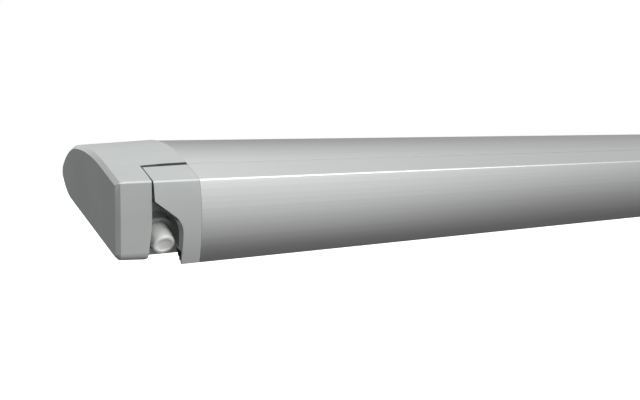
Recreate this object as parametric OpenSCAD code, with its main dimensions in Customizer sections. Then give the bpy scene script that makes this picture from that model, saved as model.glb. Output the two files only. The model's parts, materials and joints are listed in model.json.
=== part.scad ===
// Cassette awning for a caravan or camper roof, shown closed.
// Section frame while modelling: x runs along the case from its middle, y runs rearwards from
// the front ridge and z upwards from the bottom edge of the lead rail. The finished pieces are
// then moved so that the origin is the middle of the flat back of the case.

/* [Overall] */
// Width over the two end caps
overall_w = 2600; // [2500:10:4000]
// Fall of the canopy from the case to the lead rail, in degrees; the case floor has the same slope
pitch = 15; // [14:0.5:16]

/* [Case section] */
// Height of the front ridge above the bottom edge of the lead rail
ridge_h = 80; // [78:0.5:82]
// Height of the top of the case above the bottom edge of the lead rail
total_h = 114.2; // [113.6:0.1:116]
// Slope of the top behind the ridge, in degrees
top_slope = 24; // [23:0.5:25]
// Length of the straight slope behind the ridge
top_line = 34; // [33:0.5:38]
// Distance from the front ridge to the rounded rear of the case
nose_y = 188; // [187:0.5:192]
// Height of the rounded rear
nose_z = 80; // [79:0.5:81]
// Radius of the rounded rear
nose_r = 14; // [12:0.5:15]
// Distance from the front ridge to the flat back of the case
back_y = 184; // [183:0.5:186]
// Distance of the underside from the bottom edge of the rail, square to its slope
under_v = 12; // [11.5:0.1:12.3]
// Radius of the lower rear of the case
heel_r = 58; // [54:1:62]
// Distance from the ridge to the joint line between the lead rail and the case
part_y = 31.2; // [30.5:0.1:32]
// Distance from the ridge to the front edge of the case floor
floor_y = 53; // [52:0.5:56]
// Wall of the case
case_wall = 2.2; // [1.8:0.1:2.4]
// Radius of the fixing holes in the back of the case
fixing_r = 4.5; // [3:0.5:6]
// Distance between the two fixing holes of a pair
fixing_pitch = 60; // [40:5:100]
// Distance between neighbouring pairs of fixing holes
fixing_span = 1000; // [600:10:1100]

/* [End caps] */
// Width of an end cap
cap_w = 80.2; // [79:0.2:84]
// Width of the front column of an end cap
column_w = 33; // [31:0.5:34]
// How much narrower the column is at its foot
column_lean = 3.2; // [0:0.1:4]
// Height at which the column starts to narrow
column_bend = 39; // [30:1:50]
// Radius of the lower inner corner of the column
column_r = 3; // [1:0.5:5]
// Wall of the plastic caps
cap_wall = 2.5; // [2:0.1:3]
// Chamfer round the outer face
cap_chamfer = 3.8; // [2:0.2:5]
// Radius of the lower front corner
cap_corner = 7; // [6:0.1:8]
// How far the end caps stand proud of the case
cap_proud = 0.8; // [0.4:0.1:1.2]
// How much lower than the case the top is at the outer face
cap_drop = 3.7; // [2:0.1:5]
// Slope behind the ridge at the outer face, in degrees
cap_slope = 19.5; // [18:0.5:21]
// Slope of the underside of the end caps, in degrees
cap_pitch = 16; // [15.5:0.1:16.5]
// Height of the underside of the end caps below the ridge
cap_under = 5.6; // [5:0.1:7]
// How far the foot of the end cap front lies behind the ridge
cap_foot = 5; // [4:0.5:6]
// Bulge of the front of an end cap over its chord
cap_bow = 1.5; // [1:0.1:2.5]
// Height of the lower edge of the recess wall
skirt_z = 7; // [5:0.5:10]

/* [Lead rail] */
// How far the foot of the lead rail lies behind the ridge
foot_y = 3.5; // [2:0.5:5]
// Bulge of the front face over its chord
front_bow = 5.7; // [4:0.1:7]
// Wall of the lead rail
rail_wall = 2.2; // [1.8:0.1:2.6]
// Gap between a rail cap and the end cap column
cap_gap = 1.8; // [1.2:0.1:2.4]
// Gap between a rail cap and the top of the end cap behind it
cap_joint = 2.6; // [1.6:0.1:3]
// Gap between the lead rail and the top of the case behind it
joint_gap = 0.5; // [0.4:0.1:1.4]
// Height of the notch at the outer edge of a rail cap above the line of the crank
notch_rise = 52; // [48:0.2:54]
// Distance of the notch side from the outer face
notch_side = 62; // [60:0.1:64]
// Radius of the notch corner
notch_r = 21; // [9:0.5:26]
// Slope of the upper edge of the notch, in degrees
notch_slope = 37.5; // [36:0.5:41]
// Depth of the wall round the notch
notch_depth = 8.5; // [6:0.5:12]
// How far the notch side leans inwards at its foot, or outwards where it is negative
notch_lean = -0.4; // [-2:0.1:2]
// Radius of the bead groove in the rail
groove_r = 2.7; // [2.2:0.1:3.2]

/* [Roller and canopy] */
// Thickness of the wound canopy on the roller tube
wound_t = 7; // [5:0.5:8]
// Room between the wound canopy and the floor of the case
roll_under = 4.3; // [3:0.1:6]
// Room between the wound canopy and the top of the case
roll_over = 2.2; // [1.5:0.1:4]
// Room between the wound canopy and the shoulder brackets
roll_gap = 2.6; // [2:0.1:5]
// Wall of the roller tube
tube_wall = 2; // [1.5:0.1:2.5]
// Radius of the roller axles
axle_r = 5; // [4:0.5:6]
// Distance of the canopy edge from the outer face of an end cap
cloth_inset = 105; // [100:1:150]
// Thickness of the canopy cloth
cloth_t = 0.5; // [0.3:0.1:0.8]

/* [Crank drive] */
// Angle of the crank shaft below the horizontal, in degrees
crank_angle = 34; // [32:0.5:36]
// Distance of the crank shaft from the outer face of the end cap
crank_x = 48.8; // [48:0.1:49]
// Radius of the crank coupler
coupler_r = 10.8; // [9:0.1:11]
// Length of the crank coupler
coupler_l = 22; // [16:0.5:26]
// Distance from the worm to the outer end of the coupler
crank_reach = 134; // [128:0.2:136]
// Tooth size of the worm wheel
gear_module = 1.2; // [1:0.05:1.3]
// Teeth on the worm wheel
wheel_teeth = 14; // [12:1:14]
// Threads on the worm
worm_starts = 2; // [1:1:2]
// Pitch radius of the worm
worm_r = 4.6; // [4.2:0.1:5]
// Radius of the crank shaft
shaft_r = 4; // [3.5:0.1:4.5]

/* [Arms] */
// Distance of the folded elbows from the middle of the case
elbow_gap = 140; // [60:5:300]
// Distance of the shoulder pivot from the outer face of the end cap
shoulder_x = 110; // [108:1:120]
// Distance of the upper arm from the ridge, along the slope of the floor
upper_u = 102; // [101:0.5:103]
// Distance between the axes of the two folded links
link_gap = 25; // [24.5:0.1:25.5]
// Height of the arm axes, square to the floor
arm_v = 35.5; // [35:0.1:37]
// Width of the upper arm tube
upper_w = 22; // [20:0.5:22.5]
// Height of the upper arm tube
upper_h = 36; // [34:0.5:37]
// Width of the forearm tube
fore_w = 20; // [18:0.5:20.5]
// Height of the forearm tube
fore_h = 32; // [30:0.5:33]
// Wall of the arm tubes
arm_wall = 2; // [1.5:0.1:2.5]
// Radius of the shoulder and elbow pins
pin_r = 6; // [5:0.25:6.5]
// Radius of the wrist pins
wrist_r = 5; // [4:0.25:5.5]

/* [Support legs] */
// Width of the outer leg tube
leg_w = 13; // [12:0.2:13.2]
// Height of the outer leg tube
leg_h = 26; // [24:0.5:27]
// Wall of the leg tubes
leg_wall = 1.6; // [1.3:0.1:1.8]
// Length of the outer leg tube from its hinge
leg_l = 1150; // [900:10:1180]
// Height of the leg hinges
leg_z = 40; // [39.5:0.1:40.5]
// Radius of the leg hinge pins
leg_pin_r = 4; // [3:0.25:4.5]

/* [Clearances] */
// Radial clearance of a turning pin
run_fit = 0.05; // [0.03:0.01:0.1]
// Radial clearance of the right-hand wrist, where the arm linkage closes
open_fit = 0.3; // [0.2:0.05:0.5]
// Clearance between neighbouring faces
face_fit = 0.3; // [0.2:0.05:0.5]
// Clearance of a plug in its tube
plug_fit = 0.1; // [0.05:0.05:0.2]

/* [Hidden] */
$fn = 48;

// Colours
anodised = [0.72, 0.73, 0.74];
cap_grey = [0.66, 0.68, 0.68];
cast_grey = [0.6, 0.61, 0.62];
steel = [0.75, 0.75, 0.77];
rubber_black = [0.06, 0.06, 0.06];
cloth_grey = [0.55, 0.58, 0.6];

// Front face arcs through the ridge and a foot, each with its centre and its radius
ridge = [0, ridge_h];
foot = [foot_y, 0];
function bow_arc(low, bow) =
    let (chord = norm(low - ridge), r = (chord * chord / 4 + bow * bow) / (2 * bow),
        forward = [low[1] - ridge[1], ridge[0] - low[0]] / chord,
        c = (ridge + low) / 2 - forward * (r - bow))
    [c[0], c[1], r];
rail_front = bow_arc(foot, front_bow);
cap_front = bow_arc([cap_foot, 0], cap_bow);

// Rounded rear of the case, and the rearmost place for the highest line of the top
nose_c = [nose_y - nose_r, nose_z];
crest_room = 58;
crest_end = nose_y - crest_room;
curve_steps = 12;

function arc_pts(c, r, a0, a1, n) =
    [for (i = [0:n]) let (a = a0 + (a1 - a0) * i / n) c + r * [cos(a), sin(a)]];
function bearing(from, to) = atan2(to[1] - from[1], to[0] - from[0]);
function turned(p, a) = [p[0] * cos(a) - p[1] * sin(a), p[0] * sin(a) + p[1] * cos(a)];
function front_at(arc, z, t) = arc[0] - sqrt(pow(arc[2] - t, 2) - pow(z - arc[1], 2));
function front_pts(arc, z0, z1, t) =
    [for (i = [0:curve_steps]) let (z = z0 + (z1 - z0) * i / curve_steps) [front_at(arc, z, t), z]];
function slope_at(y, slope, t) = ridge_h + tan(slope) * y - t / cos(slope);
function top_at(y, t) = slope_at(y, top_slope, t);
function ridge_z(arc, t, slope) = slope_at(front_at(arc, ridge_h - t, t), slope, t);

// Centres of the rear arcs of an outline: top, back of the top, and heel
function crest(slope, line, h) =
    let (knee = (h - ridge_h) / tan(slope), reach = min((knee - line) / cos(slope), crest_end - knee),
        r = reach / tan(slope / 2))
    [knee + reach, h - r, r];
function shoulder(peak, h) =
    let (d = nose_c[0] - peak, e = h - nose_c[1], r = (d * d + e * e - nose_r * nose_r) / (2 * (e - nose_r)))
    [peak, h - r, r];
function heel(fall, under, r) =
    let (tip = turned(nose_c, -fall), reach = r - nose_r, drop = under + r - tip[1])
    turned([tip[0] - sqrt(reach * reach - drop * drop), under + r], fall);

// Outline at depth t from the straight slope over the top and the back to the underside at y1
function rear_path(slope, line, h, fall, under, heel_rad, t, y0, y1) =
    let (c1 = crest(slope, line, h), c2 = shoulder(c1[0], h), c3 = heel(fall, under, heel_rad),
        back_c = [c2[0], c2[1]], low = (under + t) / cos(fall))
    concat([[y0, slope_at(y0, slope, t)]],
        arc_pts([c1[0], c1[1]], c1[2] - t, 90 + slope, 90, curve_steps),
        arc_pts(back_c, c2[2] - t, 90, bearing(back_c, nose_c), curve_steps),
        arc_pts(nose_c, nose_r - t, bearing(back_c, nose_c), bearing(c3, nose_c), curve_steps),
        arc_pts(c3, heel_rad - t, bearing(c3, nose_c), fall - 90, curve_steps),
        [[y1, low + y1 * tan(fall)]]);

// Case outline at depth t; the mouth moves the open front edge forward
function case_path(t, mouth) =
    rear_path(top_slope, top_line, total_h, pitch, under_v, heel_r, t, part_y - mouth, floor_y - mouth);

// Closed outline of an end cap at depth t, at its inner edge or its outer face
cap_line = 45;
cap_top = total_h - cap_drop;
cap_heel = heel_r + 2;
cap_v = cap_under * cos(cap_pitch);
cap_cy = front_at(cap_front, ridge_h / 4, 0) + cap_corner;
cap_c = [cap_cy, (cap_v + cap_corner) / cos(cap_pitch) + cap_cy * tan(cap_pitch)];
column_foot = cap_c[1] - cap_corner;
function cap_outline(slope, line, h, t) = concat(
    front_pts(cap_front, cap_c[1], ridge_z(cap_front, t, slope), t),
    rear_path(slope, line, h, cap_pitch, cap_v, cap_heel, t, top_line / 2, 2 * cap_corner),
    arc_pts(cap_c, cap_corner - t, 270 + cap_pitch, 180, curve_steps / 2));
function cap_edge(t) = cap_outline(top_slope, top_line, total_h, t - cap_proud);
function cap_face(t) = cap_outline(cap_slope, cap_line, cap_top, t);

// Frame of the arms: u along the slope of the floor and v square to it
function slope_uv(yz) = turned(yz, -pitch);
function slope_yz(uv) = turned(uv, pitch);
floor_v = under_v + case_wall;
crest_c = crest(top_slope, top_line, total_h);
shoulder_c = shoulder(crest_c[0], total_h);
heel_c = heel(pitch, under_v, heel_r);
hub_r = 12;
bracket_t = 4;
bracket_u = upper_u + hub_r + 0.4;

// The canopy leaves through the mouth under the lip of the case
lip_h = 2.5;
mouth_room = 4.5;
mouth_v = slope_uv([part_y, top_at(part_y, case_wall) - lip_h])[1] - mouth_room;

// The wound canopy fills its room between the floor, the top or the mouth, and the shoulder brackets
roll_u = bracket_u + bracket_t + roll_gap;
roll_low = floor_v + roll_under;
roll_k = shoulder_c[2] - case_wall - roll_over + roll_low;
roll_q = slope_yz([roll_u - roll_low, 0]) - [shoulder_c[0], shoulder_c[1]];
roll_b = roll_q * slope_yz([1, 1]) + roll_k;
roll_top = sqrt(roll_b * roll_b - roll_q * roll_q + roll_k * roll_k) - roll_b;
roll_r = min(roll_top - roll_low, (mouth_v - cloth_t - plug_fit - roll_low) / 2);
roller_v = roll_low + roll_r;
tube_r = roll_r - wound_t;
roller_u = roll_u + roll_r;
roller_c = slope_yz([roller_u, roller_v]);
cloth_v = roller_v + roll_r + plug_fit;
cloth_w = overall_w - 2 * cloth_inset;

// Places along the case, measured from the outer face of the left end cap
function from_left(d) = d - overall_w / 2;
thin = 0.1;
overrun = 20;
head_over = 3;
head_t = 2.5;
bush_t = 4;
bush_rim = 2;
fork_inset = 2;
foot_gap = 4;
foot_plug = 20;
notch_foot = 5;
slot_room = 0.5;
case_x = cap_w + 0.2;
plate_t = 6;
plate_x = case_x - plate_t;
tube_x = plate_x + plate_t + 5;

// Crank shaft: the worm lies on the upper front of the roller axle
wheel_r = gear_module * wheel_teeth / 2;
gear_reach = wheel_r + worm_r;
crank_dir = [cos(crank_angle), sin(crank_angle)];
worm_c = roller_c + gear_reach * [-sin(crank_angle), cos(crank_angle)];
wheel_w = 5;
worm_l = 16;
gear_back = 2.2;
collar_r = 15;
collar_l = 14;
sleeve_r = 9;
collar_end = crank_reach - coupler_l - face_fit;
notch_top = worm_c[1] - worm_c[0] * tan(crank_angle) + notch_rise;

// Arms: pivots in the slope frame
shoulder_px = from_left(shoulder_x);
arm_link = overall_w / 2 - shoulder_x - elbow_gap;
elbow_u = upper_u - link_gap / 2;
fore_u = upper_u - link_gap;
elbow_px = shoulder_px + sqrt(arm_link * arm_link - link_gap * link_gap / 4);
elbow_r = 13;
knuckle_h = 28;
tongue_h = 15;
wrist_h = 24;
ear_h = 6.2;
tube_set = 30;
elbow_set = 36;
plug_l = 40;
flange_t = 4;

// Lead rail section
flange_y = part_y - joint_gap;
cap_flange_y = part_y - cap_joint;
lip_y = 16.2;
lip_z = 15;
lip_foot = 12;
lip_t = 2.4;
seal_low = 3;
seal_rear = 14.5;
seal_ribs = 3;
rib_h = 1.5;
rib_foot = 0.9;
channel_y = 17;
web_t = 2;
roof_z = 56;
web_z = 14;
bead_y = 26;
bead_c = [bead_y, (cloth_v + cloth_t / 2 + bead_y * sin(pitch)) / cos(pitch)];
groove_wall = 1.8;

// Support legs: the left leg lies in the front lane of the rail and the right leg behind it
lane_front = 0.8;
lane_gap = 1.4;
lane_rear = 1.8;
lane_left = channel_y + lane_front + leg_w / 2;
lane_right = lane_left + leg_w + lane_gap;
web_y = lane_right + leg_w / 2 + lane_rear + web_t;
inner_fit = 0.2;
inner_w = leg_w - 2 * leg_wall - 2 * inner_fit;
inner_h = leg_h - 2 * leg_wall - 2 * inner_fit;
tongue_w = 6.6;
hinge_set = 20;
collar_len = 30;
foot_len = 28;
lever_l = 34;
lever_h = 5;

module along_x(x0, x1) {
    translate([x0, 0, 0]) rotate([90, 0, 90]) linear_extrude(x1 - x0) children();
}

module along_y(y0, y1) {
    translate([0, y1, 0]) rotate([90, 0, 0]) linear_extrude(y1 - y0) children();
}

module on_slope() {
    rotate([pitch, 0, 0]) children();
}

module sided(side) {
    mirror([side > 0 ? 1 : 0, 0, 0]) children();
}

module box(low, high) {
    translate(low) cube(high - low);
}

module stadium(w, h) {
    square([w, h - w], center = true);
    for (s = [-1, 1]) translate([0, s * (h - w) / 2]) circle(w / 2);
}

module place() {
    translate([0, -back_y, -nose_z]) children();
}

// Places children on the crank axis, with +z pointing out through the coupler
module on_crank() {
    translate([from_left(crank_x), worm_c[0], worm_c[1]]) rotate([90 + crank_angle, 0, 0]) children();
}

// Screw ports inside the rear corners of the case
port_r = 4;
screw_r = 2;
port_set = 18;
port_angle = 62;
port_in = case_wall + port_r - 1;
port_y = back_y - port_set;
port_c = [
    [port_y, shoulder_c[1] + sqrt(pow(shoulder_c[2] - port_in, 2) - pow(port_y - shoulder_c[0], 2))],
    heel_c + (heel_r - port_in) * [cos(port_angle), -sin(port_angle)]
];

// Solid bar of the case outline, t smaller all round, from the left end to the right
module case_bar(t, mouth, x) {
    intersection() {
        along_x(from_left(x), -from_left(x)) polygon(case_path(t, mouth));
        box([from_left(x), 0, 0], [-from_left(x), back_y - t, total_h]);
    }
}

module case_profile() {
    color(anodised) difference() {
        union() {
            difference() {
                case_bar(0, 0, case_x);
                case_bar(case_wall, overrun / 2, case_x - 1);
            }
            box([from_left(case_x), part_y, top_at(part_y, case_wall) - lip_h],
                [-from_left(case_x), part_y + case_wall, top_at(part_y, case_wall / 2)]);
            for (c = port_c) {
                intersection() {
                    case_bar(case_wall / 2, 0, case_x);
                    translate([from_left(case_x), c[0], c[1]]) rotate([0, 90, 0])
                        cylinder(r = port_r, h = -2 * from_left(case_x));
                }
            }
        }
        for (c = port_c) {
            translate([from_left(case_x) - 1, c[0], c[1]]) rotate([0, 90, 0])
                cylinder(r = screw_r, h = -2 * from_left(case_x) + 2);
        }
        for (bay = [-1:1], side = [-1, 1]) {
            translate([bay * fixing_span + side * fixing_pitch / 2, back_y - 2 * case_wall, nose_z])
                rotate([-90, 0, 0]) cylinder(r = fixing_r, h = 4 * case_wall);
        }
    }
}

// Chamfered block of an end cap, t smaller all round; the outer face is lower than the inner edge
module cap_block(t, x1) {
    hull() {
        along_x(t, t + thin) polygon(cap_face(cap_chamfer + t));
        along_x(cap_chamfer + t, cap_chamfer + t + thin) polygon(cap_face(t));
        along_x(x1 - thin, x1) polygon(cap_edge(t));
    }
}

// Front view of the recess beside the column of an end cap, t larger, in x from the outer face and z
module recess(t) {
    round_c = [column_w - column_lean - column_r - t, column_foot + column_r];
    polygon(concat([[cap_w + 1, -overrun], [cap_w + 1, total_h], [column_w - t, total_h],
        [column_w - t, column_bend]],
        arc_pts(round_c, column_r, 0, -90, curve_steps / 2), [[round_c[0], -overrun]]));
}

module end_cap(side) {
    wall_y = part_y + cap_wall;
    roof = top_at(wall_y, cap_wall);
    color(cap_grey) sided(side) translate([from_left(0), 0, 0]) difference() {
        union() {
            difference() {
                cap_block(0, cap_w);
                cap_block(cap_wall, cap_w + 1);
                along_y(-overrun, part_y) recess(0);
            }
            intersection() {
                cap_block(0, cap_w);
                along_y(-overrun, wall_y) difference() {
                    recess(cap_wall);
                    recess(0);
                }
            }
            box([column_w - column_lean - cap_wall, part_y, skirt_z], [cap_w, wall_y, roof]);
        }
        translate([-from_left(0), 0, 0]) on_crank() cylinder(r = collar_r + face_fit, h = crank_reach);
    }
}

module end_plate(side) {
    front_y = floor_y + 3;
    edge = case_wall + 2 * face_fit;
    color(cast_grey) sided(side) difference() {
        intersection() {
            along_x(from_left(plate_x), from_left(plate_x + plate_t)) polygon(case_path(edge, 0));
            box([from_left(plate_x) - 1, front_y, 0], [from_left(plate_x + plate_t) + 1, back_y, total_h]);
        }
        for (c = port_c) {
            translate([from_left(plate_x) - 1, c[0], c[1]]) rotate([0, 90, 0])
                cylinder(r = screw_r, h = plate_t + 2);
        }
        translate([from_left(plate_x) - 1, roller_c[0], roller_c[1]]) rotate([0, 90, 0])
            cylinder(r = axle_r + bush_t, h = plate_t + 2);
    }
}

module end_plate_screws() {
    shank_l = 24;
    color(steel) for (side = [-1, 1], c = port_c) {
        sided(side) translate([from_left(plate_x), c[0], c[1]]) rotate([0, 90, 0]) {
            translate([0, 0, -head_t]) cylinder(r = port_r - 1, h = head_t);
            cylinder(r = screw_r - plug_fit, h = shank_l);
        }
    }
}

module roller_bushes() {
    rim_t = 1.5;
    color(rubber_black) for (side = [-1, 1]) {
        sided(side) translate([from_left(plate_x), roller_c[0], roller_c[1]]) rotate([0, 90, 0])
            difference() {
            union() {
                cylinder(r = axle_r + bush_t, h = plate_t);
                translate([0, 0, plate_t]) cylinder(r = axle_r + bush_t + bush_rim, h = rim_t);
            }
            translate([0, 0, -1]) cylinder(r = axle_r + run_fit, h = plate_t + rim_t + 2);
        }
    }
}

module shoulder_bracket(side) {
    web_u0 = bracket_u;
    web_u1 = bracket_u + bracket_t;
    lower = floor_v;
    knuckle_v0 = arm_v - knuckle_h / 2 - face_fit;
    knuckle_v1 = arm_v + knuckle_h / 2 + face_fit;
    color(cast_grey) sided(side) on_slope() difference() {
        union() {
            for (v = [[lower, knuckle_v0], [knuckle_v1, knuckle_v1 + ear_h]]) {
                translate([shoulder_px, upper_u, v[0]]) cylinder(r = hub_r, h = v[1] - v[0]);
                box([shoulder_px - hub_r, upper_u, v[0]], [shoulder_px + hub_r, web_u1, v[1]]);
            }
            box([shoulder_px - hub_r - bracket_t, web_u0, lower],
                [shoulder_px + hub_r + bracket_t, web_u1, knuckle_v1 + ear_h]);
        }
        translate([shoulder_px, upper_u, lower - 1]) cylinder(r = pin_r, h = upper_h + 2 * overrun);
    }
}

module shoulder_pins() {
    top_v = arm_v + knuckle_h / 2 + face_fit + ear_h;
    color(steel) for (side = [-1, 1]) {
        sided(side) on_slope() translate([shoulder_px, upper_u, floor_v]) {
            cylinder(r = pin_r, h = top_v - floor_v);
            translate([0, 0, top_v - floor_v]) cylinder(r = pin_r + head_over, h = head_t);
        }
    }
}

// Crank gearbox, split on the plane of the worm; half -1 is the outer half
module gearbox(half) {
    wheel_room = wheel_r + gear_module + 1.2;
    housing_r = wheel_room + 2.5;
    housing_w = wheel_w / 2 + 5;
    worm_room = worm_r + gear_module + 0.8;
    far = 60;
    color(cap_grey) intersection() {
        translate([from_left(crank_x), 0, 0])
            box([half < 0 ? -far : 0, -far, -far], [half < 0 ? 0 : far, 4 * far, 4 * far]);
        difference() {
            union() {
                translate([from_left(crank_x) - housing_w, roller_c[0], roller_c[1]]) rotate([0, 90, 0])
                    cylinder(r = housing_r, h = 2 * housing_w);
                on_crank() {
                    translate([0, 0, -worm_l / 2 - gear_back])
                        cylinder(r = sleeve_r, h = collar_end + worm_l / 2 + gear_back);
                    translate([0, 0, collar_end - collar_l]) cylinder(r = collar_r, h = collar_l);
                }
            }
            translate([from_left(crank_x) - wheel_w / 2 - 1, roller_c[0], roller_c[1]]) rotate([0, 90, 0])
                cylinder(r = wheel_room, h = wheel_w + 2);
            translate([from_left(crank_x) - far, roller_c[0], roller_c[1]]) rotate([0, 90, 0])
                cylinder(r = axle_r + run_fit, h = 2 * far);
            on_crank() {
                translate([0, 0, -worm_l / 2 - 1]) cylinder(r = worm_room, h = worm_l + 2);
                translate([0, 0, -far]) cylinder(r = shaft_r + run_fit, h = 4 * far);
            }
        }
    }
}

// Closes the crank opening of the right end cap
module blanking_plug() {
    plug_len = 16;
    color(cap_grey) sided(1) on_crank() {
        translate([0, 0, collar_end - collar_l]) cylinder(r = collar_r, h = collar_l);
        translate([0, 0, collar_end - collar_l - plug_len]) cylinder(r = sleeve_r, h = plug_len);
    }
}

module roller_tube() {
    color(anodised) translate([from_left(tube_x), roller_c[0], roller_c[1]]) rotate([0, 90, 0]) difference() {
        cylinder(r = tube_r, h = -2 * from_left(tube_x));
        translate([0, 0, -1]) cylinder(r = tube_r - tube_wall, h = -2 * from_left(tube_x) + 2);
    }
}

module roller_plug(side) {
    flange_x = tube_x - 3;
    axle_x = side < 0 ? crank_x - wheel_w / 2 - 4 : plate_x - 3;
    plug_in = 60;
    color(cast_grey) sided(side) translate([0, roller_c[0], roller_c[1]]) rotate([0, 90, 0]) {
        translate([0, 0, from_left(tube_x)]) cylinder(r = tube_r - tube_wall - plug_fit, h = plug_in);
        translate([0, 0, from_left(flange_x)]) cylinder(r = tube_r, h = tube_x - flange_x);
        translate([0, 0, from_left(axle_x)]) cylinder(r = axle_r, h = flange_x - axle_x);
    }
}

// Worm wheel with straight-sided teeth, twisted to the lead of the worm
lead = PI * gear_module * worm_starts;
lead_slope = lead / (2 * PI * worm_r);

module worm_wheel() {
    root = wheel_r - 1.2 * gear_module;
    tip = wheel_r + 0.9 * gear_module;
    step = 360 / wheel_teeth;
    tip_a = 0.13 * step;
    root_a = 0.3 * step;
    turn = wheel_w * lead_slope / wheel_r * 180 / PI;
    // A tooth space faces the worm at rest
    first_a = 90 + crank_angle + step / 2 - turn / 2;
    corners = [[root, -root_a], [tip, -tip_a], [tip, tip_a], [root, root_a]];
    outline = [for (i = [0:wheel_teeth - 1], k = corners)
        let (a = first_a + i * step + k[1]) k[0] * [cos(a), sin(a)]];
    color(steel) translate([from_left(crank_x) - wheel_w / 2, roller_c[0], roller_c[1]]) rotate([90, 0, 90])
        difference() {
            linear_extrude(wheel_w, twist = -turn, slices = 4) polygon(outline);
            translate([0, 0, -1]) cylinder(r = axle_r + plug_fit / 2, h = wheel_w + 2);
        }
}

module canopy_roll() {
    color(cloth_grey) translate([-cloth_w / 2, roller_c[0], roller_c[1]]) rotate([0, 90, 0]) difference() {
        cylinder(r = roll_r, h = cloth_w);
        translate([0, 0, -1]) cylinder(r = tube_r + plug_fit, h = cloth_w + 2);
    }
}

// One thread of the worm as a swept trapezium about +z, with a crest facing the wheel at rest
module worm_thread(start) {
    steps = 24;
    rings = ceil(steps * worm_l / lead);
    core = worm_r - 1.5 * gear_module;
    tip = worm_r + 0.9 * gear_module;
    root_w = 0.3 * PI * gear_module;
    tip_w = 0.1 * PI * gear_module;
    section = [[core, -root_w], [tip, -tip_w], [tip, tip_w], [core, root_w]];
    points = [for (i = [0:rings], p = section)
        let (z = worm_l * (i / rings - 0.5), a = 270 + 360 * (start / worm_starts + z / lead))
        [p[0] * cos(a), p[0] * sin(a), z + p[1]]];
    sides = [for (i = [0:rings - 1], k = [0:3])
        let (a = 4 * i + k, b = 4 * i + (k + 1) % 4)
        each [[a, b, a + 4], [b, b + 4, a + 4]]];
    last = 4 * rings;
    ends = [[0, 2, 1], [0, 3, 2], [last, last + 1, last + 2], [last, last + 2, last + 3]];
    polyhedron(points, concat(sides, ends));
}

module worm_shaft() {
    core = worm_r - 1.25 * gear_module;
    color(steel) on_crank() {
        cylinder(r = core, h = worm_l + 2, center = true);
        translate([0, 0, -worm_l / 2 - gear_back]) cylinder(r = core, h = gear_back);
        translate([0, 0, worm_l / 2 + 1])
            cylinder(r = shaft_r, h = crank_reach - coupler_l / 2 - worm_l / 2 - 1);
        for (start = [0:worm_starts - 1]) worm_thread(start);
    }
}

module crank_coupler() {
    recess_r = coupler_r - 2.6;
    recess_d = 1.6;
    slot_w = 3;
    slot_d = 3;
    color(cap_grey) on_crank() translate([0, 0, crank_reach - coupler_l]) difference() {
        cylinder(r = coupler_r, h = coupler_l);
        translate([0, 0, -1]) cylinder(r = shaft_r + plug_fit / 2, h = coupler_l / 2 + 1);
        translate([0, 0, coupler_l - recess_d]) cylinder(r = recess_r, h = recess_d + 1);
        translate([0, 0, coupler_l - recess_d]) cube([slot_w, recess_r, 2 * slot_d], center = true);
    }
}

module canopy_sheet() {
    bead_u = slope_uv(bead_c)[0];
    slot_u = bead_u + groove_r + 0.2;
    color(cloth_grey) on_slope()
        box([-cloth_w / 2, slot_u, cloth_v], [cloth_w / 2, roller_u, cloth_v + cloth_t]);
}

// Straight arm tube between two stations
module arm_tube(x0, x1, u, w, h) {
    color(anodised) translate([0, u, arm_v]) difference() {
        along_x(x0, x1) stadium(w, h);
        along_x(x0 - 1, x1 + 1) stadium(w - 2 * arm_wall, h - 2 * arm_wall);
    }
}

// Flange and plug that close an arm tube; dir is the way the plug points
module arm_plug(x, dir, u, w, h) {
    plug_x = x + dir * plug_l;
    flange_x = x - dir * flange_t;
    translate([0, u, arm_v]) {
        along_x(min(x, plug_x), max(x, plug_x))
            stadium(w - 2 * arm_wall - 2 * plug_fit, h - 2 * arm_wall - 2 * plug_fit);
        along_x(min(x, flange_x), max(x, flange_x)) stadium(w, h);
    }
}

module upper_arm(side) {
    sided(side) on_slope() arm_tube(shoulder_px + tube_set, elbow_px - elbow_set, upper_u, upper_w, upper_h);
}

module forearm(side) {
    sided(side) on_slope() arm_tube(shoulder_px + tube_set, elbow_px - elbow_set, fore_u, fore_w, fore_h);
}

module shoulder_knuckle(side) {
    neck_w = upper_w - 4;
    color(cast_grey) sided(side) on_slope() difference() {
        union() {
            translate([shoulder_px, upper_u, arm_v - knuckle_h / 2]) cylinder(r = hub_r, h = knuckle_h);
            box([shoulder_px, upper_u - neck_w / 2, arm_v - knuckle_h / 2],
                [shoulder_px + tube_set - flange_t, upper_u + neck_w / 2, arm_v + knuckle_h / 2]);
            arm_plug(shoulder_px + tube_set, 1, upper_u, upper_w, upper_h);
        }
        translate([shoulder_px, upper_u, 0]) cylinder(r = pin_r + run_fit, h = 2 * upper_h);
    }
}

// Flat plate of an elbow casting, from the pivot to its tube
module elbow_plate(u, w, v0, v1) {
    root_x = elbow_px - elbow_set + flange_t / 2;
    lean = u > elbow_u ? 1 : -1;
    translate([elbow_px, elbow_u, v0]) cylinder(r = elbow_r, h = v1 - v0);
    translate([0, 0, v0]) linear_extrude(v1 - v0) polygon([[root_x, u - w / 2], [root_x, u + w / 2],
        [elbow_px + lean * elbow_r * 0.3, elbow_u + elbow_r * 0.95],
        [elbow_px - lean * elbow_r * 0.3, elbow_u - elbow_r * 0.95]]);
}

module elbow_fork(side) {
    low = arm_v - tongue_h / 2 - face_fit;
    high = arm_v + tongue_h / 2 + face_fit;
    plate_w = upper_w - 8;
    color(cast_grey) sided(side) on_slope() difference() {
        union() {
            elbow_plate(upper_u, plate_w, arm_v - upper_h / 2 + fork_inset, low);
            elbow_plate(upper_u, plate_w, high, arm_v + upper_h / 2 - fork_inset);
            arm_plug(elbow_px - elbow_set, -1, upper_u, upper_w, upper_h);
        }
        translate([elbow_px, elbow_u, 0]) cylinder(r = pin_r, h = 2 * upper_h);
    }
}

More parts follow.
